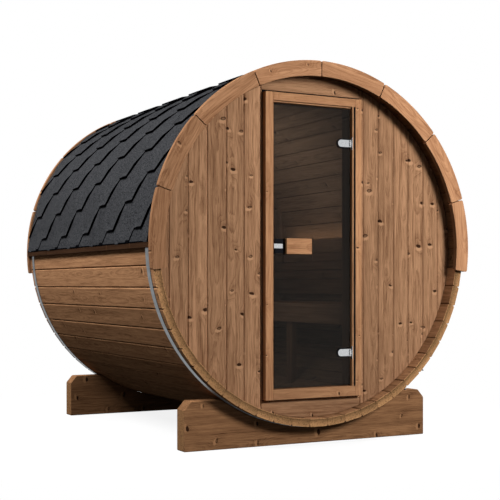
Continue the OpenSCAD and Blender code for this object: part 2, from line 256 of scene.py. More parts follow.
def block(low: Point, high: Point, along: int, edge: float = 0.002, steps: int = 2) -> Shell:
    """A planed bar that fills a box.

    Args:
        low: the box's low corner.
        high: the box's high corner.
        along: the axis its grain runs along.
        edge: radius of the edges.
        steps: stretches round each edge.

    Returns:
        The bar, whose plank coordinates run along its length.
    """
    low, high = np.array(low, float), np.array(high, float)
    order, axes = {X: ([2, 0, 1], LYING), Y: ([0, 1, 2], None), Z: ([0, 2, 1], STANDING)}[along]
    return bar(*(high - low)[order], edge, steps).moved((high + low) / 2, axes)


def eased_outline(outline: np.ndarray, ease: float) -> np.ndarray:
    """Cuts the sharp corners off an outline: each becomes two points, ease away along its two sides.

    Args:
        outline: corners, n by 2.
        ease: distance of the new points from the old corner.

    Returns:
        The new outline.
    """
    back = np.roll(outline, 1, axis=0) - outline
    ahead = np.roll(outline, -1, axis=0) - outline
    back_len, ahead_len = np.linalg.norm(back, axis=1), np.linalg.norm(ahead, axis=1)
    cosine = -np.einsum("ij,ij->i", back, ahead) / np.maximum(back_len * ahead_len, TINY)
    sharp = cosine < math.cos(math.radians(SHARP_TURN))
    reach = np.minimum(ease, 0.4 * np.minimum(back_len, ahead_len)) * sharp
    first = outline + back / back_len[:, None] * reach[:, None]
    second = outline + ahead / ahead_len[:, None] * reach[:, None]
    both = np.stack([first, second], axis=1).reshape(-1, 2)
    return both[np.column_stack([np.ones(len(outline), bool), sharp]).reshape(-1)]


def prism(outline: np.ndarray, low: float, high: float, ease: float = 0.0015, sawn: bool = False,
          between: tuple[float, ...] = ()) -> Shell:
    """Carries an outline of X and Z along Y, with its edges cut off all round.

    On the two flat faces each corner stands in along its mitre: by inset * (n1 + n2) / (1 + n1 . n2), where
    n1 and n2 are the inward normals of its two sides.

    Args:
        outline: corners in X and Z, n by 2.
        low: first Y.
        high: last Y.
        ease: size of the cut edges.
        sawn: whether the two flat faces are sawn across the grain.
        between: other Y levels, in order, that get a ring of points.

    Returns:
        The prism.
    """
    area = 0.5 * np.sum(outline[:, 0] * np.roll(outline[:, 1], -1) - np.roll(outline[:, 0], -1) * outline[:, 1])
    flat, inset = eased_outline(outline if area > 0 else outline[::-1], ease), ease * BEVEL
    side = np.roll(flat, -1, axis=0) - flat
    side /= np.maximum(np.linalg.norm(side, axis=1, keepdims=True), TINY)
    normal = np.column_stack([-side[:, 1], side[:, 0]])
    before = np.roll(normal, 1, axis=0)
    scale = np.maximum(1 + np.einsum("ij,ij->i", before, normal), 0.3)
    small = flat + inset * (before + normal) / scale[:, None]
    levels = [low, low + inset, *between, high - inset, high]
    outlines = [small, *[flat] * (len(levels) - 2), small]
    return skinned([np.insert(o, 1, y, axis=1) for o, y in zip(outlines, levels)], sawn)


def rod(radius: float, length: float, steps: int = 20, ease: float = 0.0006) -> Shell:
    """A round rod along Z about the origin, with its rims cut off.

    Args:
        radius: radius of the rod.
        length: length of the rod.
        steps: sides round it.
        ease: size of the cut rims.

    Returns:
        The rod.
    """
    angle = np.arange(steps) * 2 * math.pi / steps
    ring = np.column_stack([np.cos(angle), np.sin(angle), np.zeros(steps)])
    radii = np.array([radius - ease, radius, radius, radius - ease])
    heights = np.array([-length / 2, -length / 2 + ease, length / 2 - ease, length / 2])
    return skinned(ring[None] * radii[:, None, None] + np.array([0, 0, 1.0]) * heights[:, None, None])


def to_object(name: str, shell: Shell, material: bpy.types.Material) -> bpy.types.Object:
    """Makes a scene object of a shell, at the origin, with its plank attributes.

    Args:
        name: the object's name.
        shell: the surface.
        material: its material.

    Returns:
        The new object.
    """
    mesh = bpy.data.meshes.new(name)
    mesh.from_pydata(shell.points.tolist(), [], shell.faces)
    for key, kind, part, values in (("grain", "FLOAT_VECTOR", "vector", shell.grain),
                                    ("tone", "FLOAT", "value", shell.tone), ("end", "FLOAT", "value", shell.end)):
        mesh.attributes.new(key, kind, "POINT").data.foreach_set(part, values.astype(np.float32).ravel())
    mesh.update()
    mesh.polygons.foreach_set("use_smooth", np.ones(len(mesh.polygons), bool))
    mesh.set_sharp_from_angle(angle=math.radians(SMOOTH_BELOW))
    mesh.materials.append(material)
    piece = bpy.data.objects.new(name, mesh)
    bpy.context.scene.collection.objects.link(piece)
    even = piece.modifiers.new("even_faces", "WEIGHTED_NORMAL")
    even.mode, even.weight, even.keep_sharp = "FACE_AREA", 100, True
    return piece


# ---------------------------------------------------------------- finishes


class Value:
    """A node's output; +, -, *, / and ** on it each add a Math node."""

    def __init__(self, graph: "Graph", socket: bpy.types.NodeSocket) -> None:
        """Keeps the output and its graph."""
        self.graph, self.socket = graph, socket

    def __add__(self, other: "Value | float") -> "Value":
        """The sum."""
        return self.graph.math("ADD", self, other)

    def __sub__(self, other: "Value | float") -> "Value":
        """The difference."""
        return self.graph.math("SUBTRACT", self, other)

    def __mul__(self, other: "Value | float") -> "Value":
        """The product."""
        return self.graph.math("MULTIPLY", self, other)

    def __truediv__(self, other: "Value | float") -> "Value":
        """The quotient."""
        return self.graph.math("DIVIDE", self, other)

    def __pow__(self, other: "Value | float") -> "Value":
        """The power."""
        return self.graph.math("POWER", self, other)


class Graph:
    """A node tree, with short calls that add one node each and return its output."""

    def __init__(self, name: str, tree: bpy.types.NodeTree | None = None) -> None:
        """Empties the given tree, or starts a new material's.

        Args:
            name: the new material's name.
            tree: the tree to fill instead.
        """
        if tree is None:
            self.material = bpy.data.materials.new(name)
            self.material.use_nodes = True
            tree = self.material.node_tree
        self.tree = tree
        self.tree.nodes.clear()

    def node(self, kind: str, **settings: object) -> bpy.types.Node:
        """Adds a node and sets its properties.

        Args:
            kind: its type's name, without ShaderNode.
            settings: its properties.

        Returns:
            The node.
        """
        made = self.tree.nodes.new("ShaderNode" + kind)
        for key, value in settings.items():
            setattr(made, key, value)
        return made

    def feed(self, socket: bpy.types.NodeSocket, value: object) -> None:
        """Links a value to a socket, or sets the socket to a constant.

        Args:
            socket: the input to feed.
            value: another node's output, or a constant.
        """
        if isinstance(value, Value):
            self.tree.links.new(value.socket, socket)
        else:
            socket.default_value = value

    def add(self, kind: str, *values: object, out: int | str = 0, **settings: object) -> Value:
        """Adds a node, feeds its first inputs in order and returns an output.

        Args:
            kind: its type's name, without ShaderNode.
            values: what its first inputs take, in order.
            out: which output to return.
            settings: its properties.

        Returns:
            The output.
        """
        made = self.node(kind, **settings)
        for socket, value in zip(made.inputs, values):
            self.feed(socket, value)
        return Value(self, made.outputs[out])

    def named(self, kind: str, out: int | str = 0, **sockets: object) -> Value:
        """Adds a node, feeds inputs by name, with _ for a space, and returns an output.

        Args:
            kind: its type's name, without ShaderNode.
            out: which output to return.
            sockets: what the named inputs take.

        Returns:
            The output.
        """
        made = self.node(kind)
        for name, value in sockets.items():
            self.feed(made.inputs[name.replace("_", " ")], value)
        return Value(self, made.outputs[out])

    def attribute(self, name: str, out: str = "Fac") -> Value:
        """Reads one of the mesh's own attributes."""
        return self.add("Attribute", out=out, attribute_name=name)

    def place(self) -> Value:
        """The object's own coordinates."""
        return self.add("TexCoord", out="Object")

    def math(self, operation: str, *values: object, clamp: bool = False) -> Value:
        """Adds a Math node."""
        return self.add("Math", *values, operation=operation, use_clamp=clamp)

    def vector(self, operation: str, *values: object) -> Value:
        """Adds a Vector Math node."""
        return self.add("VectorMath", *values, out=int(operation == "LENGTH"), operation=operation)

    def parts(self, value: Value) -> list[Value]:
        """Takes a vector apart.

        Args:
            value: the vector.

        Returns:
            Its x, y and z.
        """
        made = self.node("SeparateXYZ")
        self.feed(made.inputs[0], value)
        return [Value(self, made.outputs[i]) for i in range(3)]

    def length(self, x: Value, y: Value) -> Value:
        """The length of a flat vector."""
        return self.vector("LENGTH", self.add("CombineXYZ", x, y, 0.0))

    def noise(self, where: Value, scale: float | Point, detail: float = 2.0, rough: float = 0.5) -> Value:
        """Adds a noise texture, with one scale or one for each axis, and returns its grey value.

        Args:
            where: the place to read it at.
            scale: how many grains to the metre.
            detail: how many finer layers it has.
            rough: how strong each finer layer is.

        Returns:
            The grey value.
        """
        if isinstance(scale, tuple):
            where, scale = self.vector("MULTIPLY", where, scale), 1.0
        return self.named("TexNoise", "Fac", Vector=where, Scale=scale, Detail=detail, Roughness=rough)

    def spread(self, value: Value, low: float, high: float, to_low: float = 0.0, to_high: float = 1.0,
               smooth: bool = False) -> Value:
        """Carries the stretch from low to high over to another one, and holds the ends."""
        kind = "SMOOTHSTEP" if smooth else "LINEAR"
        return self.add("MapRange", value, low, high, to_low, to_high, interpolation_type=kind)

    def mix(self, share: object, first: object, second: object, blend: str = "MIX") -> Value:
        """Mixes two colours, which are the Mix node's inputs 6 and 7.

        Args:
            share: how much of the second colour.
            first: the colour at 0.
            second: the colour at 1.
            blend: the way they mix.

        Returns:
            The mixed colour.
        """
        made = self.node("Mix", data_type="RGBA", blend_type=blend)
        for number, value in ((0, share), (6, first), (7, second)):
            self.feed(made.inputs[number], value)
        return Value(self, made.outputs[2])

    def levelled(self, colour: Value, level: Value) -> Value:
        """Multiplies a colour by a grey level."""
        return self.mix(1.0, colour, self.add("CombineXYZ", level, level, level), "MULTIPLY")

    def seen(self) -> Value:
        """1 to the camera and in gloss and glass, 0 to all other light.

        Returns:
            The 0 or 1.
        """
        path = self.node("LightPath").outputs
        camera, glossy, through = (Value(self, path[f"Is {kind} Ray"]) for kind in ("Camera", "Glossy", "Transmission"))
        return self.math("MAXIMUM", camera, self.math("MAXIMUM", glossy, through))

    def finish(self, shader: Value, output: str = "OutputMaterial") -> None:
        """Puts a shader on the surface."""
        self.feed(self.node(output).inputs["Surface"], shader)

    def principled(self, colour: Value, rough: object, height: Value, strength: float, distance: float,
                   **sockets: float) -> bpy.types.Material:
        """Closes the tree with a Principled shader.

        Args:
            colour: base colour.
            rough: roughness.
            height: height of the bump.
            strength: how far the bump shows.
            distance: its depth, in metres.
            sockets: constants for other sockets, with _ for a space.

        Returns:
            The finished material.
        """
        normal = self.named("Bump", "Normal", Strength=strength, Distance=distance, Height=height)
        self.finish(self.named("BsdfPrincipled", Base_Color=colour, Roughness=rough, Normal=normal, **sockets))
        return self.material


def rgba(colour: Colour, share: float = 1.0) -> tuple[float, float, float, float]:
    """Turns a share of written screen values from 0 to 255 into a linear colour with full cover.

    Args:
        colour: red, green and blue as they're written.
        share: what they are multiplied by first.

    Returns:
        Red, green, blue and 1.
    """
    level = np.array(colour, float) * share / 255
    linear = np.where(level <= 0.04045, level / 12.92, ((level + 0.055) / 1.055) ** 2.4)
    return (*map(float, linear), 1.0)


@dataclass(frozen=True)
class Wood:
    """Heat-treated softwood, with growth rings, streaks, knots and paler sawn ends.

    Attributes:
        name: the material's name.
        light: screen colour of the spring wood.
        dark: screen colour of the summer wood.
        knot: screen colour of a knot's rim.
        sawn: screen colour of a sawn end.
        ring_pitch: distance between broad rings, in metres.
        contrast: how strongly the rings and streaks show.
        knot_cell: width and length of the patch of board that may hold one knot, in metres.
        knot_share: share of the patches that hold a knot.
        knot_size: how large the knots are, against a usual 12 to 24 mm.
        tone_swing: how far one plank's lightness strays from the next.
        rough: roughness of the surface.
        bend: how far the rings wander from a circle, in metres.
        relief: depth of the grain, in metres.
    """

    name: str
    light: Colour
    dark: Colour
    knot: Colour = (40, 22, 14)
    sawn: Colour = (160, 122, 86)
    ring_pitch: float = 0.0085
    contrast: float = 1.0
    knot_cell: tuple[float, float] = (0.10, 0.26)
    knot_share: float = 0.5
    knot_size: float = 1.0
    tone_swing: float = 0.16
    rough: float = 0.62
    bend: float = 0.07
    relief: float = 0.0007

    def knots(self, g: Graph, grain: Value) -> dict[str, Value]:
        """Scatters the knots over the board's face.

        Each patch of the face has one feature point; the offset from it, over the knot's half width and half
        height, has a length that is 1 on the knot's rim.

        Args:
            g: the material's graph.
            grain: the plank coordinates.

        Returns:
            Masks by name: heart, rim, pale (bare wood beside the knot) and halo (where the grain bends).
        """
        wide, long = self.knot_cell
        place = g.vector("MULTIPLY", grain, (1 / wide, 1 / long, 0.0))
        cells = g.node("TexVoronoi", voronoi_dimensions="2D", feature="F1")
        for socket, value in (("Vector", place), ("Scale", 1.0), ("Randomness", 0.9)):
            g.feed(cells.inputs[socket], value)
        chance, size, kind = g.parts(Value(g, cells.outputs["Color"]))
        there = g.math("LESS_THAN", chance, self.knot_share)
        away = g.vector("SUBTRACT", place, Value(g, cells.outputs["Position"]))
        across, along, _ = g.parts(g.vector("MULTIPLY", away, (wide, long, 0.0)))
        along = (g.noise(grain, (70.0, 70.0, 70.0)) - 0.5) * 0.009 + along
        across = (kind - 0.5) * (along * 1.2) + across
        half_w = size * (0.0085 * self.knot_size) + 0.0065 * self.knot_size
        half_h = size * (0.0045 * self.knot_size) + 0.0042 * self.knot_size
        far = g.length(across / half_w, along / half_h)
        inside = g.spread(far, 1.15, 0.8, smooth=True) * there
        dead = g.math("GREATER_THAN", kind, 0.45)
        beside = g.length(across / (half_w * 2.1), (half_h * 1.7 + along) / (half_h * 2.0))
        halo = g.spread(g.length(across, along * 0.45), 0.045, 0.0) ** 2.0
        return {"heart": inside * (dead * 0.45 + 0.5),
                "rim": g.spread(g.math("ABSOLUTE", far - 0.92), 0.42, 0.1) * there,
                "pale": g.spread(beside, 1.1, 0.3, smooth=True) * there, "halo": halo * there}

    def build(self) -> bpy.types.Material:
        """Makes the material from the plank coordinates.

        Rings: the distance from the pith, (across, depth) bent by slow noise along the plank and drawn out
        round each knot, gives a phase; its fraction to a power is the dark summer wood. Streaks: noise drawn
        out along the plank at two widths.

        Returns:
            The material.
        """
        g = Graph(self.name)
        grain, end, c = g.attribute("grain", "Vector"), g.attribute("end"), self.contrast
        across, _, depth = g.parts(grain)
        knot = self.knots(g, grain)
        slow, slow_two = g.noise(grain, (3.0, 0.9, 3.0)), g.noise(grain, (2.0, 1.7, 2.0))
        fibre = g.noise(grain, (80.0, 3.2, 80.0), 4.0, 0.65)
        streak = g.noise(grain, (26.0, 1.3, 26.0), 3.0, 0.6)
        speck = g.noise(grain, (190.0, 11.0, 190.0), 3.0, 0.7)
        pith = g.length((slow - 0.5) * self.bend + across, (slow_two - 0.5) * self.bend + depth)
        phase = (knot["halo"] * 0.022 + pith) * (1.0 / self.ring_pitch) + fibre * 0.9
        broad = g.math("FRACT", phase) ** 2.5
        fine = g.math("FRACT", phase * 3.1) ** 2.0
        dark = (broad * (0.32 * c) + fine * (0.16 * c) + g.spread(streak, 0.35, 0.7) * (0.30 * c)
                + g.spread(fibre, 0.38, 0.68) * (0.42 * c) + (speck - 0.5) * 0.9 + knot["halo"] * 0.25)
        dark = g.math("ADD", dark, knot["pale"] * -0.9, clamp=True)
        pit = g.spread(g.noise(grain, (150.0, 150.0, 150.0), 3.0, 0.7), 0.48, 0.66)
        ends = g.mix(g.math("ADD", broad * 0.35, pit * 0.7, clamp=True), rgba(self.sawn), rgba(self.sawn, 0.5))
        colour = g.mix(end, g.mix(dark, rgba(self.light), rgba(self.dark)), ends)
        face = g.math("SUBTRACT", 1.0, end)
        for mask in (knot["heart"], knot["rim"] * 0.75):
            colour = g.mix(mask * face, colour, rgba(self.knot))
        colour = g.levelled(colour, (slow - 0.5) * 0.35 + (g.attribute("tone") * self.tone_swing + 1.0))
        height = knot["rim"] * -0.8 + (broad * -0.5 + speck * 0.7)
        return g.principled(colour, dark * -0.12 + self.rough, height, 0.25, self.relief, Specular_IOR_Level=0.0)


@dataclass(frozen=True)
class Bitumen:
    """Mineral-surfaced bitumen: fine dark granules on the face, and black where "end" is 1: the cut edges, and a
    painted shadow band along the tabs' lower edges.
    """

    name: str = "shingle_granules"
    face: Colour = (71, 72, 74)
    speckle: Colour = (30, 30, 33)
    edge: Colour = (7, 7, 9)

    def build(self) -> bpy.types.Material:
        """Makes the material: two sizes of granule noise, and each tab's own lightness.

        Returns:
            The material.
        """
        g = Graph(self.name)
        where = g.place()
        granule, clump, cloud = g.noise(where, 420.0, 3.0, 0.7), g.noise(where, 120.0, 3.0, 0.6), g.noise(where, 5.0)
        share = g.spread(granule, 0.42, 0.58) * 0.55 + g.spread(clump, 0.42, 0.6, 0.0, 0.6)
        colour = g.mix(share, rgba(self.face), rgba(self.speckle))
        colour = g.levelled(colour, cloud * 0.14 + (g.attribute("tone") * 0.07 + 0.93))
        # Black where "end" is high: the real cut edges, and the painted shadow band along the tabs' lower edges.
        colour = g.mix(g.spread(g.attribute("end"), 0.45, 0.55), colour, rgba(self.edge))
        return g.principled(colour, 0.92, granule, 0.7, 0.0014, Specular_IOR_Level=0.0)


@dataclass(frozen=True)
class Metal:
    """Bare metal with a faint grain, drawn out by the three scales in brushed."""

    name: str
    colour: Colour
    rough: float
    mottle: float
    brushed: Point

    def build(self) -> bpy.types.Material:
        """Makes the material: the grain varies the colour and roughness.

        Returns:
            The material.
        """
        g = Graph(self.name)
        patch = g.noise(g.place(), self.brushed, 3.0, 0.6)
        colour = g.mix(patch * self.mottle, rgba(self.colour), rgba(self.colour, 0.55))
        return g.principled(colour, patch * 0.12 + self.rough, patch, 0.08, 0.0004, Metallic=1.0)


@dataclass(frozen=True)
class Moulded:
    """Black rubber or plastic with a fine grain."""

    name: str
    colour: Colour
    rough: float = 0.7

    def build(self) -> bpy.types.Material:
        """Makes the material: fine noise in colour and bump.

        Returns:
            The material.
        """
        g = Graph(self.name)
        grit = g.noise(g.place(), 900.0)
        colour = g.mix(grit, rgba(self.colour), rgba(tuple(1.5 * c + 2 for c in self.colour)))
        return g.principled(colour, self.rough, grit, 0.15, 0.0003, Specular_IOR_Level=0.04)


@dataclass(frozen=True)
class SmokedGlass:
    """Smoked safety glass: light passes straight through, tinted, under a clear gloss."""

    name: str = "smoked_glass"
    tint: Colour = (188, 197, 207)
    gloss: Colour = (150, 141, 131)
    rough: float = 0.02
    ior: float = 1.45

    def build(self) -> bpy.types.Material:
        """Makes the material: a tinted Transparent and a Glossy shader, shared out by Fresnel.

        Returns:
            The material.
        """
        g = Graph(self.name)
        smear = g.noise(g.place(), 3.0, 3.0)
        clear = g.add("BsdfTransparent", g.mix(smear, rgba(self.tint), rgba(self.tint, 0.93)))
        gloss = g.add("BsdfGlossy", rgba(self.gloss), smear * self.rough + self.rough)
        g.finish(g.add("MixShader", g.add("Fresnel", self.ior), clear, gloss))
        return g.material


class Finishes:
    """Every finish of the sauna, made once."""

    def __init__(self) -> None:
        """Builds the materials."""
        recipes = {
            Slot.STAVE: Wood("stave_softwood", (168, 125, 90), (88, 57, 37), sawn=(184, 138, 94),
                             knot_cell=(0.11, 0.34), tone_swing=0.22, ring_pitch=0.0065, contrast=0.85),
            Slot.BOARD: Wood("front_board_softwood", (168, 128, 96), (97, 65, 44), knot_share=0.85, tone_swing=0.12),
            Slot.TRIM: Wood("trim_softwood", (178, 133, 98), (114, 75, 50), knot_share=0.35, knot_size=0.7,
                            tone_swing=0.22, ring_pitch=0.006, sawn=(120, 84, 58)),
            Slot.DOOR_FRAME: Wood("frame_softwood", (176, 131, 95), (120, 80, 54), knot_share=0.35,
                                  knot_size=0.6, knot_cell=(0.06, 0.3), tone_swing=0.08, contrast=0.8),
            Slot.CRADLE: Wood("cradle_timber", (148, 108, 75), (80, 52, 34), ring_pitch=0.007, tone_swing=0.05,
                              sawn=(136, 100, 68)),
            # The batten's dark colour is partly the wood's own and partly painted shade from the eaves over it.
            Slot.BATTEN: Wood("eaves_batten_wood", (64, 44, 31), (38, 25, 17), knot_share=0.2, tone_swing=0.05),
            Slot.BENCH: Wood("bench_softwood", (170, 126, 90), (112, 74, 49), knot_share=0.4, tone_swing=0.12),
            Slot.SHINGLE: Bitumen(),
            Slot.STEEL: Metal("galvanised_band", (136, 140, 143), 0.38, 0.8, (26.0, 26.0, 26.0)),
            Slot.CHROME: Metal("hinge_chrome_plate", (204, 206, 208), 0.2, 0.25, (80.0, 80.0, 80.0)),
            Slot.SEAL: Moulded("black_seal", (9, 9, 10)),
            Slot.GLASS: SmokedGlass(),
        }
        self.by_slot = {slot: recipe.build() for slot, recipe in recipes.items()}
        # Black for the catch's base, which also paints the shade round the catch.
        self.catch_black = Moulded("catch_black", (12, 12, 14), 0.4).build()


class Maker:
    """Finishes pieces: puts a shell into the scene on its body, in place of its CAD nodes."""

    def __init__(self, finishes: Finishes, seed: int) -> None:
        """Keeps the finishes and starts the seeded source of chance."""
        self.finishes, self.rng, self.count = finishes, np.random.default_rng(seed), 0

    def put(self, name: str, shells: list[Shell], slot: Slot, *nodes: str, body: Body = Body.BARREL,
            material: bpy.types.Material | None = None) -> None:
        """Makes one piece.

        Args:
            name: the piece's name.
            shells: its surfaces.
            slot: the record's slot it belongs to.
            nodes: the CAD nodes it stands for.
            body: the body it rides on.
            material: its material, where that isn't the slot's.
        """
        piece = to_object(name, joined(shells), material or self.finishes.by_slot[slot])
        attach(piece, body.value)
        if nodes:
            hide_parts(*nodes)
        self.count += 1
        log.info("%s: %d faces on %s for %s", name, len(piece.data.polygons), body.value, ", ".join(nodes) or "-")


# ---------------------------------------------------------------- the barrel


@dataclass
class Round:
    """The barrel's round outline, shared by all that is fitted to it."""

    axis_z: float = 1.11151
    face_r: float = 1.0105
    stave_t: float = 0.045
    stave_count: int = 54
    front_y: float = field(init=False)
    rear_y: float = field(init=False)

    def __post_init__(self) -> None:
        """Takes the barrel's ends from the frame."""
        low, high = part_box("staves_top")
        self.front_y, self.rear_y = low.y, high.y

    @property
    def half_step(self) -> float:
        """Half of the angle of one stave, in radians."""
        return math.pi / self.stave_count

    @property
    def inner_r(self) -> float:
        """Distance from the axis to a stave's inner face."""
        return self.face_r - self.stave_t

    def at(self, radius: np.ndarray | float, degrees: np.ndarray | float, y: np.ndarray | float) -> np.ndarray:
        """Points at a radius and an angle from the top towards +X: x = r sin a and z = axis + r cos a.

        Args:
            radius: distance from the axis.
            degrees: angle.
            y: place along the barrel.

        Returns:
            Points with a last axis of 3.
        """
        angle = np.radians(degrees)
        x, z, y = np.broadcast_arrays(radius * np.sin(angle), self.axis_z + radius * np.cos(angle), y)
        return np.stack([x, y, z], axis=-1)

    def turned(self, shell: Shell, angle: float, y: float = 0.0) -> Shell:
        """Turns a shell made at the top about the axis, by an angle in radians, and moves it along Y."""
        cos, sin = math.cos(angle), math.sin(angle)
        return shell.moved((0, y, self.axis_z), np.array([[cos, 0, sin], [0, 1, 0], [-sin, 0, cos]]))

    def chord_z(self, x: np.ndarray) -> np.ndarray:
        """Half height of the room at each x, by the circle inside the staves."""
        return np.sqrt(np.maximum((self.inner_r - 0.0003) ** 2 - x ** 2, 0.0))


@dataclass
class Staves:
    """The 54 staves, in the frame's ten runs."""

    form: Round
    gap: float = 0.0006
    groove_w: float = 0.0036
    groove_d: float = 0.012
    chamfer: float = 0.0050
    inner_chamfer: float = 0.0045
    under_trim: int = 14
    joint_tone: float = -3.0
    lip_shade_tone: float = -3.2
    near: float = 0.0012
    runs: tuple[tuple[str, int, int], ...] = (
        ("staves_top", -2, 5), ("staves_right_1", 3, 6), ("staves_right_2", 9, 5), ("staves_right_3", 14, 5),
        ("staves_right_4", 19, 6), ("staves_bottom", 25, 5), ("staves_left_4", 30, 6), ("staves_left_3", 36, 5),
        ("staves_left_2", 41, 5), ("staves_left_1", 46, 6))

    def stave(self, number: int, rng: Rng) -> Shell:
        """One stave: a flat-faced wedge along Y, with a groove beside its neighbour and chamfered edges.

        At a distance r from the axis its half width is r times tan(half step), less half of the joint's
        width there: the bare gap inside, the groove over that, and the groove and two chamfers at the face.
        Under the trim its inner face is painted dark from its front end to the wall, as painted shade cast by the
        trim's lip.

        Args:
            number: which stave, counted from the top towards +X.
            rng: the seeded source of chance.

        Returns:
            The stave.
        """
        f, floor = self.form, self.form.face_r - self.groove_d
        radius = np.array([f.inner_r, f.inner_r + self.inner_chamfer, floor, floor, f.face_r - self.chamfer, f.face_r])
        joint = np.array([self.gap + 2 * self.inner_chamfer, self.gap, self.gap, self.groove_w, self.groove_w,
                          self.groove_w + 2 * self.chamfer])
        half = radius * math.tan(f.half_step) - joint / 2
        outline = np.vstack([np.column_stack([half, radius]), np.column_stack([-half, radius])[::-1]])
        wall_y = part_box("front_wall_left")[0].y
        shell = prism(outline, f.front_y, f.rear_y, 0.0008, True, (wall_y + 0.003, wall_y + 0.015))
        x, y, z = shell.points.T
        shell.grained(x, y, z - f.face_r).sawn_from(rng)
        shell.tone[np.abs(z - f.inner_r - self.inner_chamfer) < self.near] = self.joint_tone
        # Painted shade: under the trim, the staves' inner faces are darkened from the front end back to the wall.
        if min(number, f.stave_count - number) <= self.under_trim:
            shell.tone[(y < wall_y + 0.004) & (z < f.inner_r + self.near)] = self.lip_shade_tone
        return f.turned(shell, number * 2 * f.half_step)

    def build(self, maker: Maker) -> None:
        """Makes the ten runs.

        Args:
            maker: dresses and places the pieces.
        """
        for node, first, count in self.runs:
            shells = [self.stave(first + i, maker.rng) for i in range(count)]
            maker.put(node + "_boards", shells, Slot.STAVE, node)


@dataclass
class RingTrim:
    """One end's ring of curved boards."""

    form: Round
    node: str
    outer_r: float = 1.0302
    width: float = 0.088
    board_deg: float = 24.5
    gap: float = 0.005
    corner: float = 0.010
    edge: float = 0.004
    lip_shade_tone: float = -3.0
    tones: tuple[float, ...] = (-0.9, -0.8, -0.35, -0.1, 0.25, 0.6, 0.6, 0.55)

    def board(self, index: int, y0: float, y1: float, rng: Rng) -> Shell:
        """One board of the ring: a rounded section carried along an arc.

        At a distance s from the board's end that is under the corner radius c, its two rims draw in by
        c - sqrt(c^2 - (c - s)^2).

        Args:
            index: which board, from the left.
            y0: its low y.
            y1: its high y.
            rng: the seeded source of chance.

        Returns:
            The board.
        """
        r_in, r_mid = self.outer_r - self.width, self.outer_r - self.width / 2
        first = (index - len(self.tones) / 2) * self.board_deg
        half_gap = math.degrees(self.gap / 2 / r_mid)
        start, stop = first + half_gap, first + self.board_deg - half_gap
        c, length = self.corner, math.radians(stop - start) * r_mid
        ease = c * (1 - np.cos(np.linspace(0, QUARTER, 6)))
        s = np.concatenate([ease, np.linspace(c, length - c, 16)[1:-1], length - ease[::-1]])
        near = np.minimum(s, length - s)
        draw = np.where(near < c, c - np.sqrt(np.maximum(c ** 2 - (c - near) ** 2, 0)), 0.0)
        rings = []
        for a, d in zip(start + np.degrees(s / r_mid), draw):
            flat = rounded_rectangle(self.width - 2 * d, y1 - y0, self.edge, 3)
            rings.append(self.form.at(r_mid + flat[:, 0], a, (y0 + y1) / 2 + flat[:, 1]))
        shell = skinned(rings, sawn=True)
        middle = math.radians((start + stop) / 2)
        sin, cos = math.sin(middle), math.cos(middle)
        local = shell.points - np.array([0, 0, self.form.axis_z])
        shell.grained(local @ np.array([sin, 0, cos]) - r_mid, local @ np.array([cos, 0, -sin]), local[:, 1] - y0)
        shell.sawn_from(rng, 0.4)
        shell.tone = shell.tone * 0.3 + self.tones[index]
        # Painted shade: each board's inner edge, the trim's lip, is darkened.
        shell.tone[np.hypot(local[:, 0], local[:, 2]) < r_in + 0.0012] = self.lip_shade_tone
        return shell

    def build(self, maker: Maker) -> None:
        """Makes the ring from its eight boards.

        Args:
            maker: dresses and places the pieces.
        """
        low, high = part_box(self.node)
        shells = [self.board(i, low.y, high.y, maker.rng) for i in range(len(self.tones))]
        maker.put(self.node + "_boards", shells, Slot.TRIM, self.node)


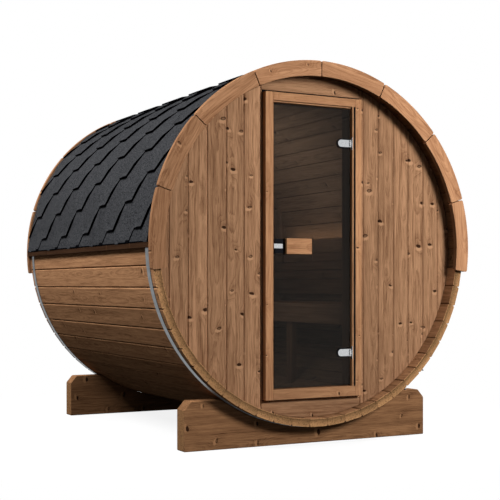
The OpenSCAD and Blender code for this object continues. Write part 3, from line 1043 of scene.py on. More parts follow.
@dataclass
class PlankWall:
    """An end wall of upright boards, trimmed to the round, with tongues in their joints."""

    form: Round
    groove: float = 0.005
    gap: float = 0.0016
    ease: float = 0.0015
    edge_highlight_tone: float = 1.6
    tongue_w: float = 0.014
    tongue_in: float = 0.010
    half: float = 0.9652
    left: tuple[float, ...] = (-0.9652, -0.878, -0.767, -0.653, -0.538, -0.431, -0.327)
    right: tuple[float, ...] = (0.327, 0.350, 0.454, 0.564, 0.668, 0.777, 0.884, 0.9652)
    board_w: float = 0.110

    def board(self, x0: float, x1: float, y0: float, y1: float, rng: Rng, floor: float | None = None,
              top: float | None = None) -> Shell:
        """One board, whose ends follow the round or stop at a level; it lies if one of them does.

        Columns run across it; each has a low and a high z, taken from the round at that x unless floor or
        top gives a level. The outermost columns stand back by the groove on both faces.

        Args:
            x0: its left edge.
            x1: its right edge.
            y0: its outer face.
            y1: its inner face.
            rng: the seeded source of chance.
            floor: level of its lower end over the axis, or None for the round.
            top: level of its upper end over the axis, or None for the round.

        Returns:
            The board.
        """
        c, g, ease = self.groove, self.gap / 2, self.ease
        x = np.concatenate([[x0 + g], np.linspace(x0 + g + c, x1 - g - c, 12), [x1 - g]])
        back = np.zeros(len(x))
        back[[0, -1]] = c
        half = self.form.chord_z(x)
        low = -half if floor is None else np.full(len(x), floor)
        high = half if top is None else np.full(len(x), top)
        rows = [(y0 + ease + back, low), (y0 + back, low + ease), (y0 + back, high - ease), (y0 + ease + back, high),
                (y1 - ease - back, high), (y1 - back, high - ease), (y1 - back, low + ease), (y1 - ease - back, low)]
        loops = np.array([np.column_stack([x, y, self.form.axis_z + z]) for y, z in rows])
        shell = skinned(loops.transpose(1, 0, 2))
        across, depth, up = (shell.points - np.array([(x0 + x1) / 2, y0, self.form.axis_z])).T
        lying = floor is not None or top is not None
        shell.grained(*((up, across) if lying else (across, up)), depth).sawn_from(rng)
        # Painted highlight: the edge columns in each joint's groove are lightened, as chamfers catching the light.
        shell.tone[np.abs(across) > (x1 - x0) / 2 - g - 1e-5] += self.edge_highlight_tone
        return shell

    def wall(self, edges: tuple[float, ...] | np.ndarray, y0: float, y1: float, rng: Rng) -> list[Shell]:
        """Upright boards between the edges, and a dark upright slip, a tongue, in each joint.

        Args:
            edges: the boards' edges across the wall.
            y0: the wall's outer face.
            y1: its inner face.
            rng: the seeded source of chance.

        Returns:
            The boards, then the tongues.
        """
        shells = [self.board(float(a), float(b), y0, y1, rng) for a, b in zip(edges[:-1], edges[1:])]
        for x in edges[1:-1]:
            side, middle = self.tongue_w / 2, self.form.axis_z
            half = float(self.form.chord_z(np.array(abs(x) + side))) - 0.002
            slip = block((x - side, y0 + self.tongue_in, middle - half),
                         (x + side, y1 - self.tongue_in, middle + half), Z, 0.001, 1)
            slip.tone[:] = -1.0
            shells.append(slip)
        return shells

    def build(self, maker: Maker) -> None:
        """Makes the front wall, with lying boards over and under the door, and the rear wall.

        Args:
            maker: dresses and places the pieces.
        """
        low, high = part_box("front_wall_left")
        y0, y1, axis = low.y, high.y, self.form.axis_z
        for side, edges in (("left", self.left), ("right", self.right)):
            shells = self.wall(edges, y0, y1, maker.rng)
            maker.put(f"front_wall_{side}_boards", shells, Slot.BOARD, "front_wall_" + side)
        for side, tone in (("top", -0.8), ("bottom", -0.6)):
            low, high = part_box("front_wall_" + side)
            level = {"floor": low.z - axis} if side == "top" else {"top": high.z - axis}
            lying = self.board(low.x, high.x, y0, y1, maker.rng, **level)
            lying.tone += tone
            maker.put(f"front_wall_{side}_board", [lying], Slot.BOARD, "front_wall_" + side)
        low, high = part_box("rear_wall")
        edges = np.concatenate([[-self.half], np.arange(-8, 9) * self.board_w, [self.half]])
        maker.put("rear_wall_boards", self.wall(edges, low.y, high.y, maker.rng), Slot.BOARD, "rear_wall")


@dataclass
class Hoop:
    """One steel hoop with its tensioner."""

    form: Round
    end: str
    inner_r: float = 1.01251
    thick: float = 0.002
    tensioner_deg: float = 138.7
    reach: float = 0.085
    lug_t: float = 0.004
    lug_h: float = 0.027
    rod_r: float = 0.005
    thread_pitch: float = 0.002
    thread_deep: float = 0.0007
    nut_r: float = 0.009
    nut_t: float = 0.008
    washer_t: float = 0.0016

    def band(self, y: float, width: float) -> Shell:
        """The band: a thin rounded section carried round the barrel, open at the tensioner.

        Args:
            y: its middle along the barrel.
            width: its width.

        Returns:
            The band.
        """
        half = math.degrees(math.asin((self.reach - self.lug_t) / self.inner_r))
        angles = np.linspace(self.tensioner_deg + half, self.tensioner_deg + 360 - half, 240)
        flat = rounded_rectangle(self.thick, width, 0.0007, 2)
        return skinned(self.form.at(self.inner_r + self.thick / 2 + flat[None, :, 0], angles[:, None],
                                    y + flat[None, :, 1]))

    def clamp(self, y: float, width: float) -> list[Shell]:
        """The tensioner: two lugs, a threaded rod through them and a nut and washer outside each.

        The rod's radius swings between its root and its crest once a pitch.

        Args:
            y: its middle along the barrel.
            width: the band's width.

        Returns:
            Its shells.
        """
        lug_in = math.sqrt((self.inner_r + self.thick) ** 2 - (self.reach - self.lug_t) ** 2) + 0.0003
        rod_r = self.inner_r + self.thick + self.lug_h / 2
        lug_out = rod_r + self.lug_h / 2
        length = 2 * self.reach + 3 * self.nut_t
        steps = int(length / self.thread_pitch) * 2
        along = np.linspace(-length / 2, length / 2, steps + 1)
        radii = (self.rod_r - self.thread_deep * (np.arange(steps + 1) % 2))[:, None]
        turn = np.arange(16) * 2 * math.pi / 16
        shells = [skinned(np.stack(np.broadcast_arrays(along[:, None], radii * np.cos(turn)[None],
                                                       rod_r + radii * np.sin(turn)[None]), -1))]
        nut_t = self.nut_t - self.washer_t
        lay = np.array([[0, 0, 1], [0, 1, 0], [-1, 0, 0]], float)
        for side in (-1, 1):
            lug = bar(self.lug_t, width, lug_out - lug_in, 0.0012, 2)
            shells.append(lug.moved((side * (self.reach - self.lug_t / 2), 0, (lug_in + lug_out) / 2)))
            for radius, thick, middle, sides in ((self.nut_r, nut_t, self.washer_t + nut_t / 2, 6),
                                                 (self.nut_r * 1.25, 0.0015, self.washer_t / 2, 20)):
                shells.append(rod(radius, thick, sides).moved((side * (self.reach + middle), 0, rod_r), lay))
        return [self.form.turned(s, math.radians(self.tensioner_deg), y) for s in shells]

    def build(self, maker: Maker) -> None:
        """Makes the band and the tensioner.

        Args:
            maker: dresses and places the pieces.
        """
        low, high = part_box(self.end + "_hoop")
        y, width = (low.y + high.y) / 2, high.y - low.y
        maker.put(self.end + "_hoop_band", [self.band(y, width)], Slot.STEEL, self.end + "_hoop")
        maker.put(self.end + "_tensioner_bolt", self.clamp(y, width), Slot.STEEL, self.end + "_tensioner")


@dataclass
class ShingleRoof:
    """The shingle cover: courses of hexagonal tabs down both sides, and caps along the top."""

    form: Round
    base_r: float = 1.0152
    thin: float = 0.0028
    rise: float = 0.012
    # Painted shadow: widths of the black band painted along a tab's lower edge, on its flats and on its slants.
    rim: float = 0.014
    slant_shadow_rim: float = 0.034
    limit_r: float = 1.0366
    step_deg: float = 8.72
    first_deg: float = 85.35
    eaves_deg: float = 89.75
    pitch: float = 0.409
    flat: float = 0.105
    odd_start: float = 0.157
    flare_from: float = 83.0
    flare: float = 0.018
    cap_count: int = 15
    cap_deg: float = 7.6
    cap_lift: tuple[float, ...] = (0.0118, 0.0118, 0.0092, 0.0078, 0.0068)

    def radius(self, degrees: np.ndarray, lift: np.ndarray | float = 0.0) -> np.ndarray:
        """Radius of the cover at an angle: its base, plus the lift, plus a flare over the eaves batten."""
        return self.base_r + lift + self.flare * np.clip((degrees - self.flare_from) / (90 - self.flare_from), 0, 1)

    def tab_drop(self, y: np.ndarray, start: float) -> np.ndarray:
        """How far below its notches' tops a course's lower edge hangs at each y, as a share of a step.

        It is 1 on a tab's flat, falls evenly along both its slants, and is just under 0 in the notch, which
        is as wide as a flat.

        Args:
            y: place behind the front stave ends.
            start: middle of one of the course's tabs.

        Returns:
            The share at each y.
        """
        apex = self.pitch / 2
        away = np.abs((y - start + apex) % self.pitch - apex)
        return np.clip((apex - self.flat / 2 - away) / (apex - self.flat), -0.06, 1)

    def sheet(self, outer: np.ndarray, inner: np.ndarray, angle: np.ndarray, y: np.ndarray, side: int) -> Shell:
        """Closes a sheet: at each y a ring runs over its outer face and back along its inner one.

        Args:
            outer: radii of the outer face, y by angle.
            inner: radii of the inner face.
            angle: angles from the top, y by angle.
            y: places behind the front stave ends.
            side: 1 for +X, -1 for -X.

        Returns:
            The sheet.
        """
        both = np.concatenate([angle, angle[:, ::-1]], axis=1)
        place = (y + self.form.front_y + 0.001)[:, None]
        return skinned(self.form.at(np.concatenate([outer, inner], axis=1), both * side, place))

    def course(self, course: int, side: int, rng: Rng) -> Shell:
        """One course: a closed sheet with a zigzag lower edge, thick there and thin where the next covers it.

        The lower edge's angle is the course's own on a tab's flat, and one step less at a notch; the top lies
        two steps up. Outer lift = thin part, falling evenly with the angle, plus a bulge that dies away
        exponentially from the edge.

        Args:
            course: its number, from the eaves up; -1 is cut short by the eaves, -2 is the straight strip under it.
            side: 1 for +X, -1 for -X.
            rng: the seeded source of chance.

        Returns:
            The course.
        """
        length, apex = self.form.rear_y - self.form.front_y - 0.002, self.pitch / 2
        start, half_flat = self.odd_start + (apex if course % 2 else 0.0), self.flat / 2
        marks = [start + k * self.pitch + s * w for k in range(-2, 8) for s in (-1, 1)
                 for w in (half_flat - 0.001, half_flat + 0.001, half_flat + 0.05, apex - half_flat - 0.001,
                           apex - half_flat + 0.007, apex)]
        y = np.unique(np.clip(np.round(np.array(marks + [0.0, length]), 5), 0.0, length))
        strip = course < -1
        drop = np.ones(len(y)) if strip else self.tab_drop(y, start)
        base = self.first_deg - max(course, -1) * self.step_deg
        low = np.minimum(base - self.step_deg * (1 - drop), self.eaves_deg)
        top = max(base - 2.0 * self.step_deg, 0.0)
        slanting = (drop > 0.01) & (drop < 0.99)
        near = np.degrees(np.where(slanting, self.slant_shadow_rim, self.rim) / self.base_r)
        share = np.array([0.0, 0.03, 0.1, 0.2, 0.4, 0.7, 1.0])
        angle = np.column_stack([low, (low - near)[:, None] + (top - (low - near))[:, None] * share[None]])
        away = np.radians(low[:, None] - angle) * self.base_r
        thin = self.thin * (0.25 + 0.75 * (1 - (base - angle) / (2 * self.step_deg)))
        fade = np.clip(drop / 0.3, 0.12, 1.0)[:, None]
        bulge = (0.0 if strip else self.rise) * fade * np.exp(-away / 0.03)
        lift = np.minimum(thin + bulge, self.limit_r - self.radius(angle))
        shell = self.sheet(self.radius(angle, lift), self.radius(angle, -0.0004)[:, ::-1], angle, y, side)
        columns = 2 * angle.shape[1]
        tab = np.clip(np.floor((y - start + apex) / self.pitch).astype(int) + 3, 0, 31)
        shell.tone = np.repeat(rng.normal(0, 0.5, 32)[tab], columns)
        edge = np.zeros((len(y), columns))
        # Painted shadow band along the lower edge, on the flats and the slants facing the front; on slants that climb
        # towards the back, which face the back, 0.35 stays under the black threshold.
        edge[:, 0] = np.where(np.gradient(low, y) < -1e-3, 0.35, 1.0)
        edge[:, len(share) + 1:] = 1.0
        shell.end = edge.reshape(-1)
        return shell

    def underlay(self, side: int) -> Shell:
        """The felt under the courses: a closed thin sheet from the top down over the batten.

        Args:
            side: 1 for +X, -1 for -X.

        Returns:
            The sheet.
        """
        angle = np.concatenate([np.linspace(0, self.flare_from, 40),
                                np.linspace(self.flare_from, self.eaves_deg, 4)[1:]])
        y0, y1 = self.form.front_y + 0.0005, self.form.rear_y - 0.0005
        outer, inner = self.radius(angle), self.radius(angle, -0.0012)
        shell = skinned(np.stack([self.form.at(r, angle * side, y)
                                  for r, y in ((outer, y0), (outer, y1), (inner, y1), (inner, y0))], axis=1))
        shell.end[:] = 1.0
        return shell

    def caps(self, rng: Rng) -> list[Shell]:
        """The caps along the top: each a bent closed sheet that rests on the one behind it.

        The lift falls off towards the back.

        Args:
            rng: the seeded source of chance.

        Returns:
            The caps.
        """
        length, wide = self.form.rear_y - self.form.front_y - 0.002, self.cap_deg
        expose = length / self.cap_count
        degrees = np.concatenate([[-wide], np.linspace(-wide + 0.12, wide - 0.12, 9), [wide]])
        shells = []
        for y0 in np.arange(self.cap_count) * expose:
            y1 = min(y0 + 1.7 * expose, length)
            ys = np.array([y0, y0 + 0.002, y0 + 0.03, (y0 + y1) / 2, y1])
            angle = np.tile(degrees, (len(ys), 1))
            outer = self.base_r + np.repeat(np.array(self.cap_lift)[:, None], len(degrees), axis=1)
            shell = self.sheet(outer, np.full_like(outer, self.base_r + 0.0005), angle, ys, 1)
            edge = np.zeros((len(ys), 2 * len(degrees)))
            edge[0] = edge[:, 0] = edge[:, len(degrees) - 1:] = 1.0
            shell.end = edge.reshape(-1)
            shell.tone = np.full(len(shell.points), rng.normal(0, 0.5))
            shells.append(shell)
        return shells

    def build(self, maker: Maker) -> None:
        """Makes both sides and the caps.

        Args:
            maker: dresses and places the pieces.
        """
        for side, node in ((-1, "roof_left"), (1, "roof_right")):
            shells = [self.underlay(side)] + [self.course(k, side, maker.rng) for k in range(-2, 10)]
            maker.put(node + "_shingles", shells, Slot.SHINGLE, node)
        maker.put("roof_cap_shingles", self.caps(maker.rng), Slot.SHINGLE)


@dataclass
class EavesBatten:
    """The batten under the shingles' lower edge, dark brown; its dark colour is partly the wood's own and partly
    painted shade from the eaves.
    """

    node: str
    edge: float = 0.003

    def build(self, maker: Maker) -> None:
        """Makes the batten in its CAD box."""
        strip = block(*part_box(self.node), Y, self.edge).sawn_from(maker.rng)
        maker.put(self.node + "_strip", [strip], Slot.BATTEN, self.node)


@dataclass
class Cradle:
    """A beam across the barrel with its bed for the staves."""

    form: Round
    node: str
    chamfer: tuple[float, float] = (0.041, 0.047)
    bed_gap: float = 0.0003

    def build(self, maker: Maker) -> None:
        """Makes the beam: its outline is the CAD's, with the bed's arc drawn in 40 steps.

        Args:
            maker: dresses and places the pieces.
        """
        low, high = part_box(self.node)
        half, top = high.x, high.z
        radius = self.form.face_r / math.cos(self.form.half_step) + self.bed_gap
        reach = math.sqrt(radius ** 2 - (self.form.axis_z - top) ** 2)
        limit = math.degrees(math.asin(reach / radius))
        arc = self.form.at(radius, np.linspace(180 - limit, 180 + limit, 41), 0.0)[:, [0, 2]]
        cx, cz = self.chamfer
        outline = np.array([[-half, 0], [half, 0], [half, top - cz], [half - cx, top], *arc.tolist(),
                            [-half + cx, top], [-half, top - cz]])
        shell = prism(outline, low.y, high.y, 0.004)
        x, y, z = shell.points.T
        shell.grained(z, x, y - low.y).sawn_from(maker.rng, 0.3)
        shell.end = (np.abs(x) > half - 1e-5).astype(float)
        maker.put(self.node + "_timber", [shell], Slot.CRADLE, self.node)


# ---------------------------------------------------------------- the door


@dataclass
class DoorFrame:
    """The framed opening: boards before the wall, the lining behind them and the seals."""

    half_w: float = 0.315
    slot: float = 0.012
    left_w: float = 0.049
    right_w: float = 0.041
    head_h: float = 0.046
    sill_h: float = 0.058
    rebate: float = 0.007
    seal_w: float = 0.012
    strip_w: float = 0.009
    recess: float = 0.016
    gap: float = 0.006
    lap: float = 0.002
    hair: float = 0.0002
    sill_tone: float = -2.6
    fillet_shade_tone: float = -0.9
    fillet_seed: int = 11
    board_edge: float = 0.0025
    shade_packing_edge: float = 0.001
    fillet_edge: float = 0.0008
    seal_edge: float = 0.003

    def boards(self, maker: Maker) -> None:
        """Makes the two jambs, the head and the sill, each with its front board and its lining.

        Args:
            maker: dresses and places the pieces.
        """
        low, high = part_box("door_jamb_left")
        front, back, wall = low.y, high.y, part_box("front_wall_left")[0].y
        bottom, top, wide = low.z + self.slot, high.z - self.slot, self.half_w
        left, right = -wide + self.left_w, wide - self.right_w
        head, sill, glass_y = top - self.head_h, bottom + self.sill_h, front + self.recess
        rebate_x, rebate_z = left + self.rebate, head - self.rebate
        strip = right - self.seal_w - self.strip_w
        parts = (
            ("door_jamb_left", Z, [
                ((-wide, front, bottom), (left, wall + self.lap, top)),
                ((left - 0.004, glass_y, sill + self.hair), (rebate_x, wall, head - self.hair)),
                ((-wide, wall, bottom), (rebate_x, back, top))]),
            ("door_jamb_right", Z, [
                ((right, front, bottom), (wide, wall + self.lap, top)),
                ((strip, front + 0.001, sill), (strip + self.strip_w, wall, head)),
                ((strip, wall, bottom), (wide, back, top))]),
            ("door_head", X, [
                ((left, front, head), (right, wall, top)), ((rebate_x, glass_y, rebate_z), (strip, wall, head)),
                ((rebate_x, wall, rebate_z), (strip, back, top))]),
            ("door_sill", X, [
                ((left, front, bottom), (right, wall, sill)), ((rebate_x, wall, bottom), (strip, back, sill))]))
        for node, along, boxes in parts:
            shells = [block(a, b, along, self.board_edge, 3).sawn_from(maker.rng, 0.6) for a, b in boxes]
            for shell in shells:
                shell.tone += self.sill_tone if node == "door_sill" else 0.0
            maker.put(node + "_boards", shells, Slot.DOOR_FRAME, node)

    def build(self, maker: Maker) -> None:
        """Makes the boards, the black strips and wooden fillets in the slot round them, and the black door seal. The
        black strips are a seal whose black also paints the slot's shade, and the fillets are painted darker as shade.

        Args:
            maker: dresses and places the pieces.
        """
        self.boards(maker)
        low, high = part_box("door_jamb_left")
        wall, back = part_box("front_wall_left")[0].y, high.y - self.lap
        wide, rim, deep = self.half_w, self.half_w + self.slot, wall + 0.003
        # Black strips in the slot round the frame: a seal, whose black also paints the shade in the slot.
        shade_packing = [((-rim, deep, low.z), (-wide + 0.001, back, high.z), Z),
                   ((wide - 0.001, deep, low.z), (rim, back, high.z), Z),
                   ((-wide, deep, high.z - self.slot - 0.001), (wide, back, high.z), X),
                   ((-wide, deep, low.z), (wide, back, low.z + self.slot + 0.001), X)]
        maker.put("door_frame_packing", [block(*box, self.shade_packing_edge, 1) for box in shade_packing], Slot.SEAL)
        outer, inner, own = rim - self.hair, wide + self.gap, np.random.default_rng(self.fillet_seed)
        y0, y1, z0, z1 = wall + 0.001, wall + 0.02, low.z + self.hair, high.z - self.hair
        fillets = [block(*box, self.fillet_edge, 1).sawn_from(own, 0.2) for box in (
            ((-outer, y0, z0), (-inner, y1, z1), Z), ((inner, y0, z0), (outer, y1, z1), Z),
            ((-inner + 0.0003, y0, z0), (inner - 0.0003, y1, low.z + self.slot - self.gap), X))]
        # Painted shade: the fillets in the slot are darkened.
        for fillet in fillets:
            fillet.tone += self.fillet_shade_tone
        maker.put("door_frame_fillets", fillets, Slot.DOOR_FRAME)
        maker.put("door_seal_strip", [block(*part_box("door_seal"), Z, self.seal_edge, 3)], Slot.SEAL, "door_seal")


@dataclass
class Hinges:
    """The two clamp hinges: fixed plates on the strip, moving clamps on the glass."""

    form: Round
    heights: tuple[float, float] = (0.592, -0.606)
    clamp_l: float = 0.074
    clamp_h: float = 0.042
    clamp_t: float = 0.006
    plate_t: float = 0.003
    plate_h: float = 0.074
    knuckle_r: float = 0.006
    fixed_h: float = 0.024
    gap: float = 0.001
    gasket_t: float = 0.001
    gasket_over: float = 0.007
    heads: tuple[float, float] = (0.022, 0.050)
    head_r: float = 0.0042
    head_t: float = 0.0016
    web_edge: float = 0.0005
    plate_edge: float = 0.0012
    cheek_edge: float = 0.0014

    def cheek(self, right: float, y0: float, z: float, thick: float, over: float = 0.0) -> Shell:
        """A clamp's cheek: a plate with one half-round end, its rims rounded off.

        Args:
            right: x of its square end.
            y0: its low y.
            z: its height.
            thick: its thickness.
            over: how far it reaches past the clamp's outline, as a gasket does.

        Returns:
            The cheek.
        """
        r = self.clamp_h / 2 + over
        turn = np.linspace(QUARTER, 3 * QUARTER, 21)
        arc = np.column_stack([right - self.clamp_l - over + r + r * np.cos(turn), z + r * np.sin(turn)])
        outline = np.vstack([arc, [[right, z - r], [right, z + r]]])
        return prism(outline, y0, y0 + thick, min(self.cheek_edge, thick / 3))

    def build(self, maker: Maker) -> None:
        """Makes the plates, clamps and gaskets from the frame's boxes.

        Args:
            maker: dresses and places the pieces.
        """
        glass_low, glass_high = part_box("door_glass")
        plate_low, plate_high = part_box("hinge_plates")
        pin_x, pin_y = frame["joints"][0]["pos_m"][:2]
        strip, outside = plate_high.x, glass_low.y - self.clamp_t
        right = pin_x - self.knuckle_r - self.gap
        half, fixed_half = self.plate_h / 2, self.fixed_h / 2
        knuckle_h = self.clamp_h / 2 - fixed_half - self.gap
        fixed, moving, gaskets = [], [], []
        for z in (self.form.axis_z + level for level in self.heights):
            fixed += [block((strip - self.plate_t, plate_low.y, z - half), (strip, glass_low.y - 0.002, z + half), Z,
                            self.plate_edge),
                      block((pin_x, pin_y - 0.004, z - fixed_half),
                            (strip - self.plate_t, pin_y + 0.004, z + fixed_half), Z, self.web_edge, 1),
                      rod(self.knuckle_r, self.fixed_h, 28).moved((pin_x, pin_y, z))]
            moving += [self.cheek(right, outside, z, self.clamp_t), self.cheek(right, glass_high.y, z, self.clamp_t)]
            for side in (-1, 1):
                mid = z + side * (self.clamp_h / 2 - knuckle_h / 2)
                moving += [rod(self.knuckle_r - 0.0005, knuckle_h, 28).moved((pin_x, pin_y, mid)),
                           block((right - 0.002, outside, mid - knuckle_h / 2),
                                 (pin_x, pin_y + self.knuckle_r - 0.001, mid + knuckle_h / 2), Z, self.web_edge, 1)]
            moving += [rod(self.head_r, self.head_t, 16).moved((right - dx, outside - 0.0003, z), STANDING)
                       for dx in self.heads]
            gaskets += [self.cheek(right + 0.001, y0, z, self.gasket_t, self.gasket_over)
                        for y0 in (glass_low.y - 0.0012, glass_high.y + 0.0002)]
        maker.put("hinge_gaskets", gaskets, Slot.SEAL, body=Body.DOOR)
        maker.put("hinge_plate_pair", fixed, Slot.CHROME, "hinge_plates")
        maker.put("hinge_clamp_pair", moving, Slot.CHROME, "hinge_clamps", body=Body.DOOR)


@dataclass
class DoorLeaf:
    """The glass, its handles and its catch."""

    handle_tone: float = 0.35
    catch_w: float = 0.055
    catch_t: float = 0.006
    bar_h: float = 0.027
    bar_l: float = 0.056
    pane_edge: float = 0.0012
    handle_edge: float = 0.003
    shade_base_edge: float = 0.0015
    bar_edge: float = 0.0025

    def build(self, maker: Maker) -> None:
        """Makes the pane, both handle blocks and the catch in their CAD boxes, and a black base behind the catch that
        is a catch housing whose black also paints the shade round the catch.

        Args:
            maker: dresses and places the pieces.
        """
        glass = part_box("door_glass")
        maker.put("door_pane", [block(*glass, Z, self.pane_edge)], Slot.GLASS, "door_glass", body=Body.DOOR)
        for node in ("outer_handle", "inner_handle"):
            shell = block(*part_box(node), X, self.handle_edge, 3).sawn_from(maker.rng, 0.2)
            shell.tone[:] = self.handle_tone
            maker.put(node + "_block", [shell], Slot.DOOR_FRAME, node, body=Body.DOOR)
        low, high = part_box("door_catch")
        edge, face, mid = glass[0].x, glass[0].y, (low.z + high.z) / 2
        # The catch's black base: a housing whose black also paints the shade round the catch.
        base = block((edge + 0.001, face - self.catch_t, low.z), (edge + self.catch_w, face, high.z), Z,
                     self.shade_base_edge)
        maker.put("door_catch_base", [base], Slot.SEAL, body=Body.DOOR, material=maker.finishes.catch_black)
        metal = block((low.x, low.y, mid - self.bar_h / 2),
                      (low.x + self.bar_l, face - self.catch_t, mid + self.bar_h / 2), X, self.bar_edge, 3)
        maker.put("door_catch_bar", [metal], Slot.CHROME, "door_catch", body=Body.DOOR)


# ---------------------------------------------------------------- the bench


@dataclass
class Bench:
    """The side bench and its backrest, inside."""

    form: Round
    slat_w: float = 0.090
    gap: float = 0.008
    back_slats: tuple[float, ...] = (0.106, 0.054, 0.054, 0.054, 0.095)
    back_gap: float = 0.006
    back_shade_tone: float = -1.2
    lit_tone: float = 2.0
    bearer: float = 0.045
    leg: tuple[float, float] = (0.038, 0.070)
    leg_inset: float = 0.110
    slat_edge: float = 0.004
    apron_edge: float = 0.003
    lit_depth: float = 0.006

    def fitted(self, x0: float, low: float, high: float, y: float, rng: Rng, upright: bool) -> Shell:
        """A rail whose outer end follows the staves, from its low to its high level.

        Args:
            x0: its inner side.
            low: its low level over the axis.
            high: its high level over the axis.
            y: its middle along the barrel.
            rng: the seeded source of chance.
            upright: whether its grain runs up.

        Returns:
            The rail.
        """
        level = np.linspace(low, high, 12)
        outer = np.sqrt((self.form.inner_r - 0.0005) ** 2 - level ** 2)
        outline = np.vstack([[[x0, high], [x0, low]], np.column_stack([outer, level])])
        outline[:, 1] += self.form.axis_z
        shell = prism(outline, y - self.bearer / 2, y + self.bearer / 2, 0.002)
        x, depth, z = shell.points.T
        return shell.grained(*((x, z) if upright else (z, x)), depth).sawn_from(rng)

    def post(self, x0: float, y: float, top: float, rng: Rng) -> Shell:
        """A leg whose foot follows the staves.

        Args:
            x0: its inner side.
            y: its middle along the barrel.
            top: its top's level over the axis.
            rng: the seeded source of chance.

        Returns:
            The leg.
        """
        xs = np.linspace(x0, x0 + self.leg[0], 5)
        outline = np.vstack([np.column_stack([xs, -self.form.chord_z(xs)]), [[xs[-1], top], [xs[0], top]]])
        outline[:, 1] += self.form.axis_z
        shell = prism(outline, y - self.leg[1] / 2, y + self.leg[1] / 2, 0.003)
        x, depth, z = shell.points.T
        return shell.grained(depth - y, z, x - x0).sawn_from(rng)

    def build(self, maker: Maker) -> None:
        """Makes the slats, apron, bearers, legs and backrest.

        Args:
            maker: dresses and places the pieces.
        """
        rng, axis, pitch = maker.rng, self.form.axis_z, self.slat_w + self.gap
        low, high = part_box("bench_seat")
        edges = low.x + np.arange(round((high.x - low.x + self.gap) / pitch)) * pitch
        slats = [block((x, low.y, low.z), (x + self.slat_w, high.y, high.z), Y, self.slat_edge, 3).sawn_from(rng)
                 for x in edges]
        maker.put("bench_seat_slats", slats, Slot.BENCH, "bench_seat")
        under, edge = low.z - axis, low.x
        low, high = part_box("bench_apron")
        apron = block(low, high, Y, self.apron_edge, 3).sawn_from(rng)
        maker.put("bench_apron_board", [apron], Slot.BENCH, "bench_apron")
        places = (low.y + self.leg_inset, 0.0, high.y - self.leg_inset)
        x0, low_rail = edge + (high.x - low.x), under - self.bearer
        bearers = [self.fitted(x0, low_rail, under, y, rng, False) for y in places]
        maker.put("bench_bearer_rails", bearers, Slot.BENCH, "bench_bearers")
        legs = [self.post(x0, y, low_rail, rng) for y in places]
        maker.put("bench_leg_posts", legs, Slot.BENCH, "bench_legs")
        low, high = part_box("backrest_slats")
        base, back = low.z, []
        for tall in self.back_slats:
            slat = block((low.x, low.y, base), (high.x, high.y, base + tall), Y, self.slat_edge, 3).sawn_from(rng)
            # Painted shade: the backrest slats are darkened; painted highlight: the top slat's upper edge gets the lit
            # tone.
            slat.tone += self.back_shade_tone
            slat.tone[slat.points[:, 2] > high.z - self.lit_depth] = self.lit_tone
            back.append(slat)
            base += tall + self.back_gap
        maker.put("backrest_slat_boards", back, Slot.BENCH, "backrest_slats")
        battens = [self.fitted(high.x, low.z - axis, high.z - axis, y, rng, True) for y in places]
        maker.put("backrest_batten_rails", battens, Slot.BENCH, "backrest_battens")


# ---------------------------------------------------------------- the studio


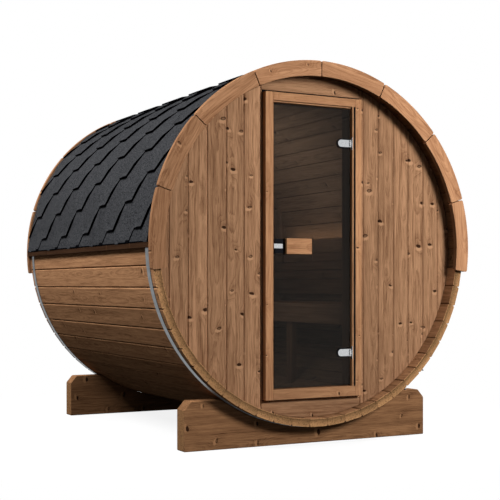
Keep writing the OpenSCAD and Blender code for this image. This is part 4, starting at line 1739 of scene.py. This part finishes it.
@dataclass
class Studio:
    """Pale floor, white surroundings, soft lamps and the camera."""

    camera_at: Point = (-3.216, -6.334, 0.894)
    camera_turn: float = -27.843
    lens: float = 79.26
    shift_y: float = 0.0695
    ambient: float = 0.12
    floor_grey: float = 0.05
    floor_half: float = 40.0
    lamps: tuple[tuple[str, Point, Point, float, float], ...] = (
        ("key_lamp", (1.3, -4.7, 2.4), (0.2, -1.0, 1.6), 1.2, 222.0),
        ("side_lamp", (-5.0, -0.6, 5.9), (-0.8, 0.0, 1.4), 2.4, 640.0),
        ("right_lamp", (5.4, 0.8, 5.0), (0.8, 0.0, 1.4), 2.4, 560.0),
        ("rear_lamp", (-1.3, 4.9, 2.4), (-0.2, 1.0, 1.5), 1.6, 240.0),
        ("room_lamp", (0.0, 0.3, 1.35), (0.25, 0.4, 2.0), 0.5, 7.2),
        ("floor_lamp", (-0.1, -0.2, 1.1), (0.5, 0.0, 0.2), 0.4, 2.0))

    def floor(self) -> None:
        """Lays a wide floor that is white to look at, keeps the object's shadow and throws little light up.

        To the camera, and in metal and glass, it is white paint that turns into plain white with the
        distance from the middle; to all other light it is a mid grey.
        """
        mesh, far = bpy.data.meshes.new("studio_floor"), self.floor_half
        mesh.from_pydata([(-far, -far, 0), (far, -far, 0), (far, far, 0), (-far, far, 0)], [], [(0, 1, 2, 3)])
        g = Graph("floor_white")
        where = g.place()
        paint = g.add("BsdfDiffuse", g.mix(g.noise(where, 0.6), (0.94, 0.94, 0.94, 1), (0.97, 0.97, 0.97, 1)))
        fade = g.spread(g.vector("LENGTH", where), 1.1, 2.4, 0.86, 1.0, smooth=True)
        white = g.add("MixShader", fade, paint, g.add("Emission", WHITE, 1.0))
        grey = g.add("BsdfDiffuse", (self.floor_grey, self.floor_grey, self.floor_grey, 1))
        g.finish(g.add("MixShader", g.seen(), grey, white))
        mesh.materials.append(g.material)
        floor = bpy.data.objects.new("studio_floor", mesh)
        bpy.context.scene.collection.objects.link(floor)

    def world(self) -> None:
        """White for the camera, glass and metal, and a soft even light for everything else."""
        world = bpy.data.worlds.new("studio_world")
        bpy.context.scene.world = world
        world.use_nodes = True
        g = Graph("", world.node_tree)
        soft, white = (g.add("Background", WHITE, strength) for strength in (self.ambient, 1.0))
        g.finish(g.add("MixShader", g.seen(), soft, white), "OutputWorld")

    def lamp(self, name: str, at: Point, towards: Point, size: float, power: float) -> bpy.types.Light:
        """Hangs one square area lamp that the camera and reflections don't see.

        Args:
            name: its name.
            at: its place.
            towards: the point it faces.
            size: its side.
            power: its power in watts.

        Returns:
            The lamp's data.
        """
        data = bpy.data.lights.new(name, "AREA")
        data.size, data.energy = size, power
        lamp = bpy.data.objects.new(name, data)
        x, y, z = np.array(at, float) - np.array(towards, float)
        lamp.location = at
        lamp.rotation_euler = (math.atan2(math.hypot(x, y), z), 0, math.atan2(x, -y))
        lamp.visible_camera = lamp.visible_glossy = False
        bpy.context.scene.collection.objects.link(lamp)
        return data

    def strip_lamp(self) -> None:
        """Lays a narrow warm lamp along the backrest's top, behind it, facing the staves."""
        low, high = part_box("backrest_slats")
        x, y, z = high.x + 0.004, (low.y + high.y) / 2, high.z - 0.004
        data = self.lamp("strip_lamp", (x, y, z), (x + 1.0, y, z + 0.3), 0.008, 1.2)
        data.shape, data.size_y, data.color = "RECTANGLE", data.size, (1.0, 0.78, 0.58)
        data.size = (high.y - low.y) * 0.94

    def camera(self) -> None:
        """Stands the camera at the front left, level, with its view shifted up a little."""
        data = bpy.data.cameras.new("view_camera")
        data.lens, data.sensor_width, data.shift_y = self.lens, 36.0, self.shift_y
        camera = bpy.data.objects.new("view_camera", data)
        camera.location = self.camera_at
        camera.rotation_euler = (QUARTER, 0, math.radians(self.camera_turn))
        bpy.context.scene.collection.objects.link(camera)
        bpy.context.scene.camera = camera

    def build(self) -> None:
        """Sets up the studio."""
        self.floor()
        self.world()
        for row in self.lamps:
            self.lamp(*row)
        self.strip_lamp()
        self.camera()
        bpy.context.scene.view_settings.view_transform = "Standard"


def main() -> None:
    """Builds every piece of the sauna in order, and the studio round it."""
    logging.basicConfig(level=logging.INFO, format="%(name)s %(message)s")
    form, maker = Round(), Maker(Finishes(), SEED)
    for part in (Staves(form), RingTrim(form, "front_trim"), RingTrim(form, "rear_trim"), PlankWall(form),
                 Hoop(form, "front"), Hoop(form, "rear"), ShingleRoof(form), EavesBatten("eaves_batten_left"),
                 EavesBatten("eaves_batten_right"), Cradle(form, "cradle_front"), Cradle(form, "cradle_rear"),
                 DoorFrame(), Hinges(form), DoorLeaf(), Bench(form)):
        part.build(maker)
    Studio().build()
    bpy.context.view_layer.update()


if __name__ == "__main__":
    main()
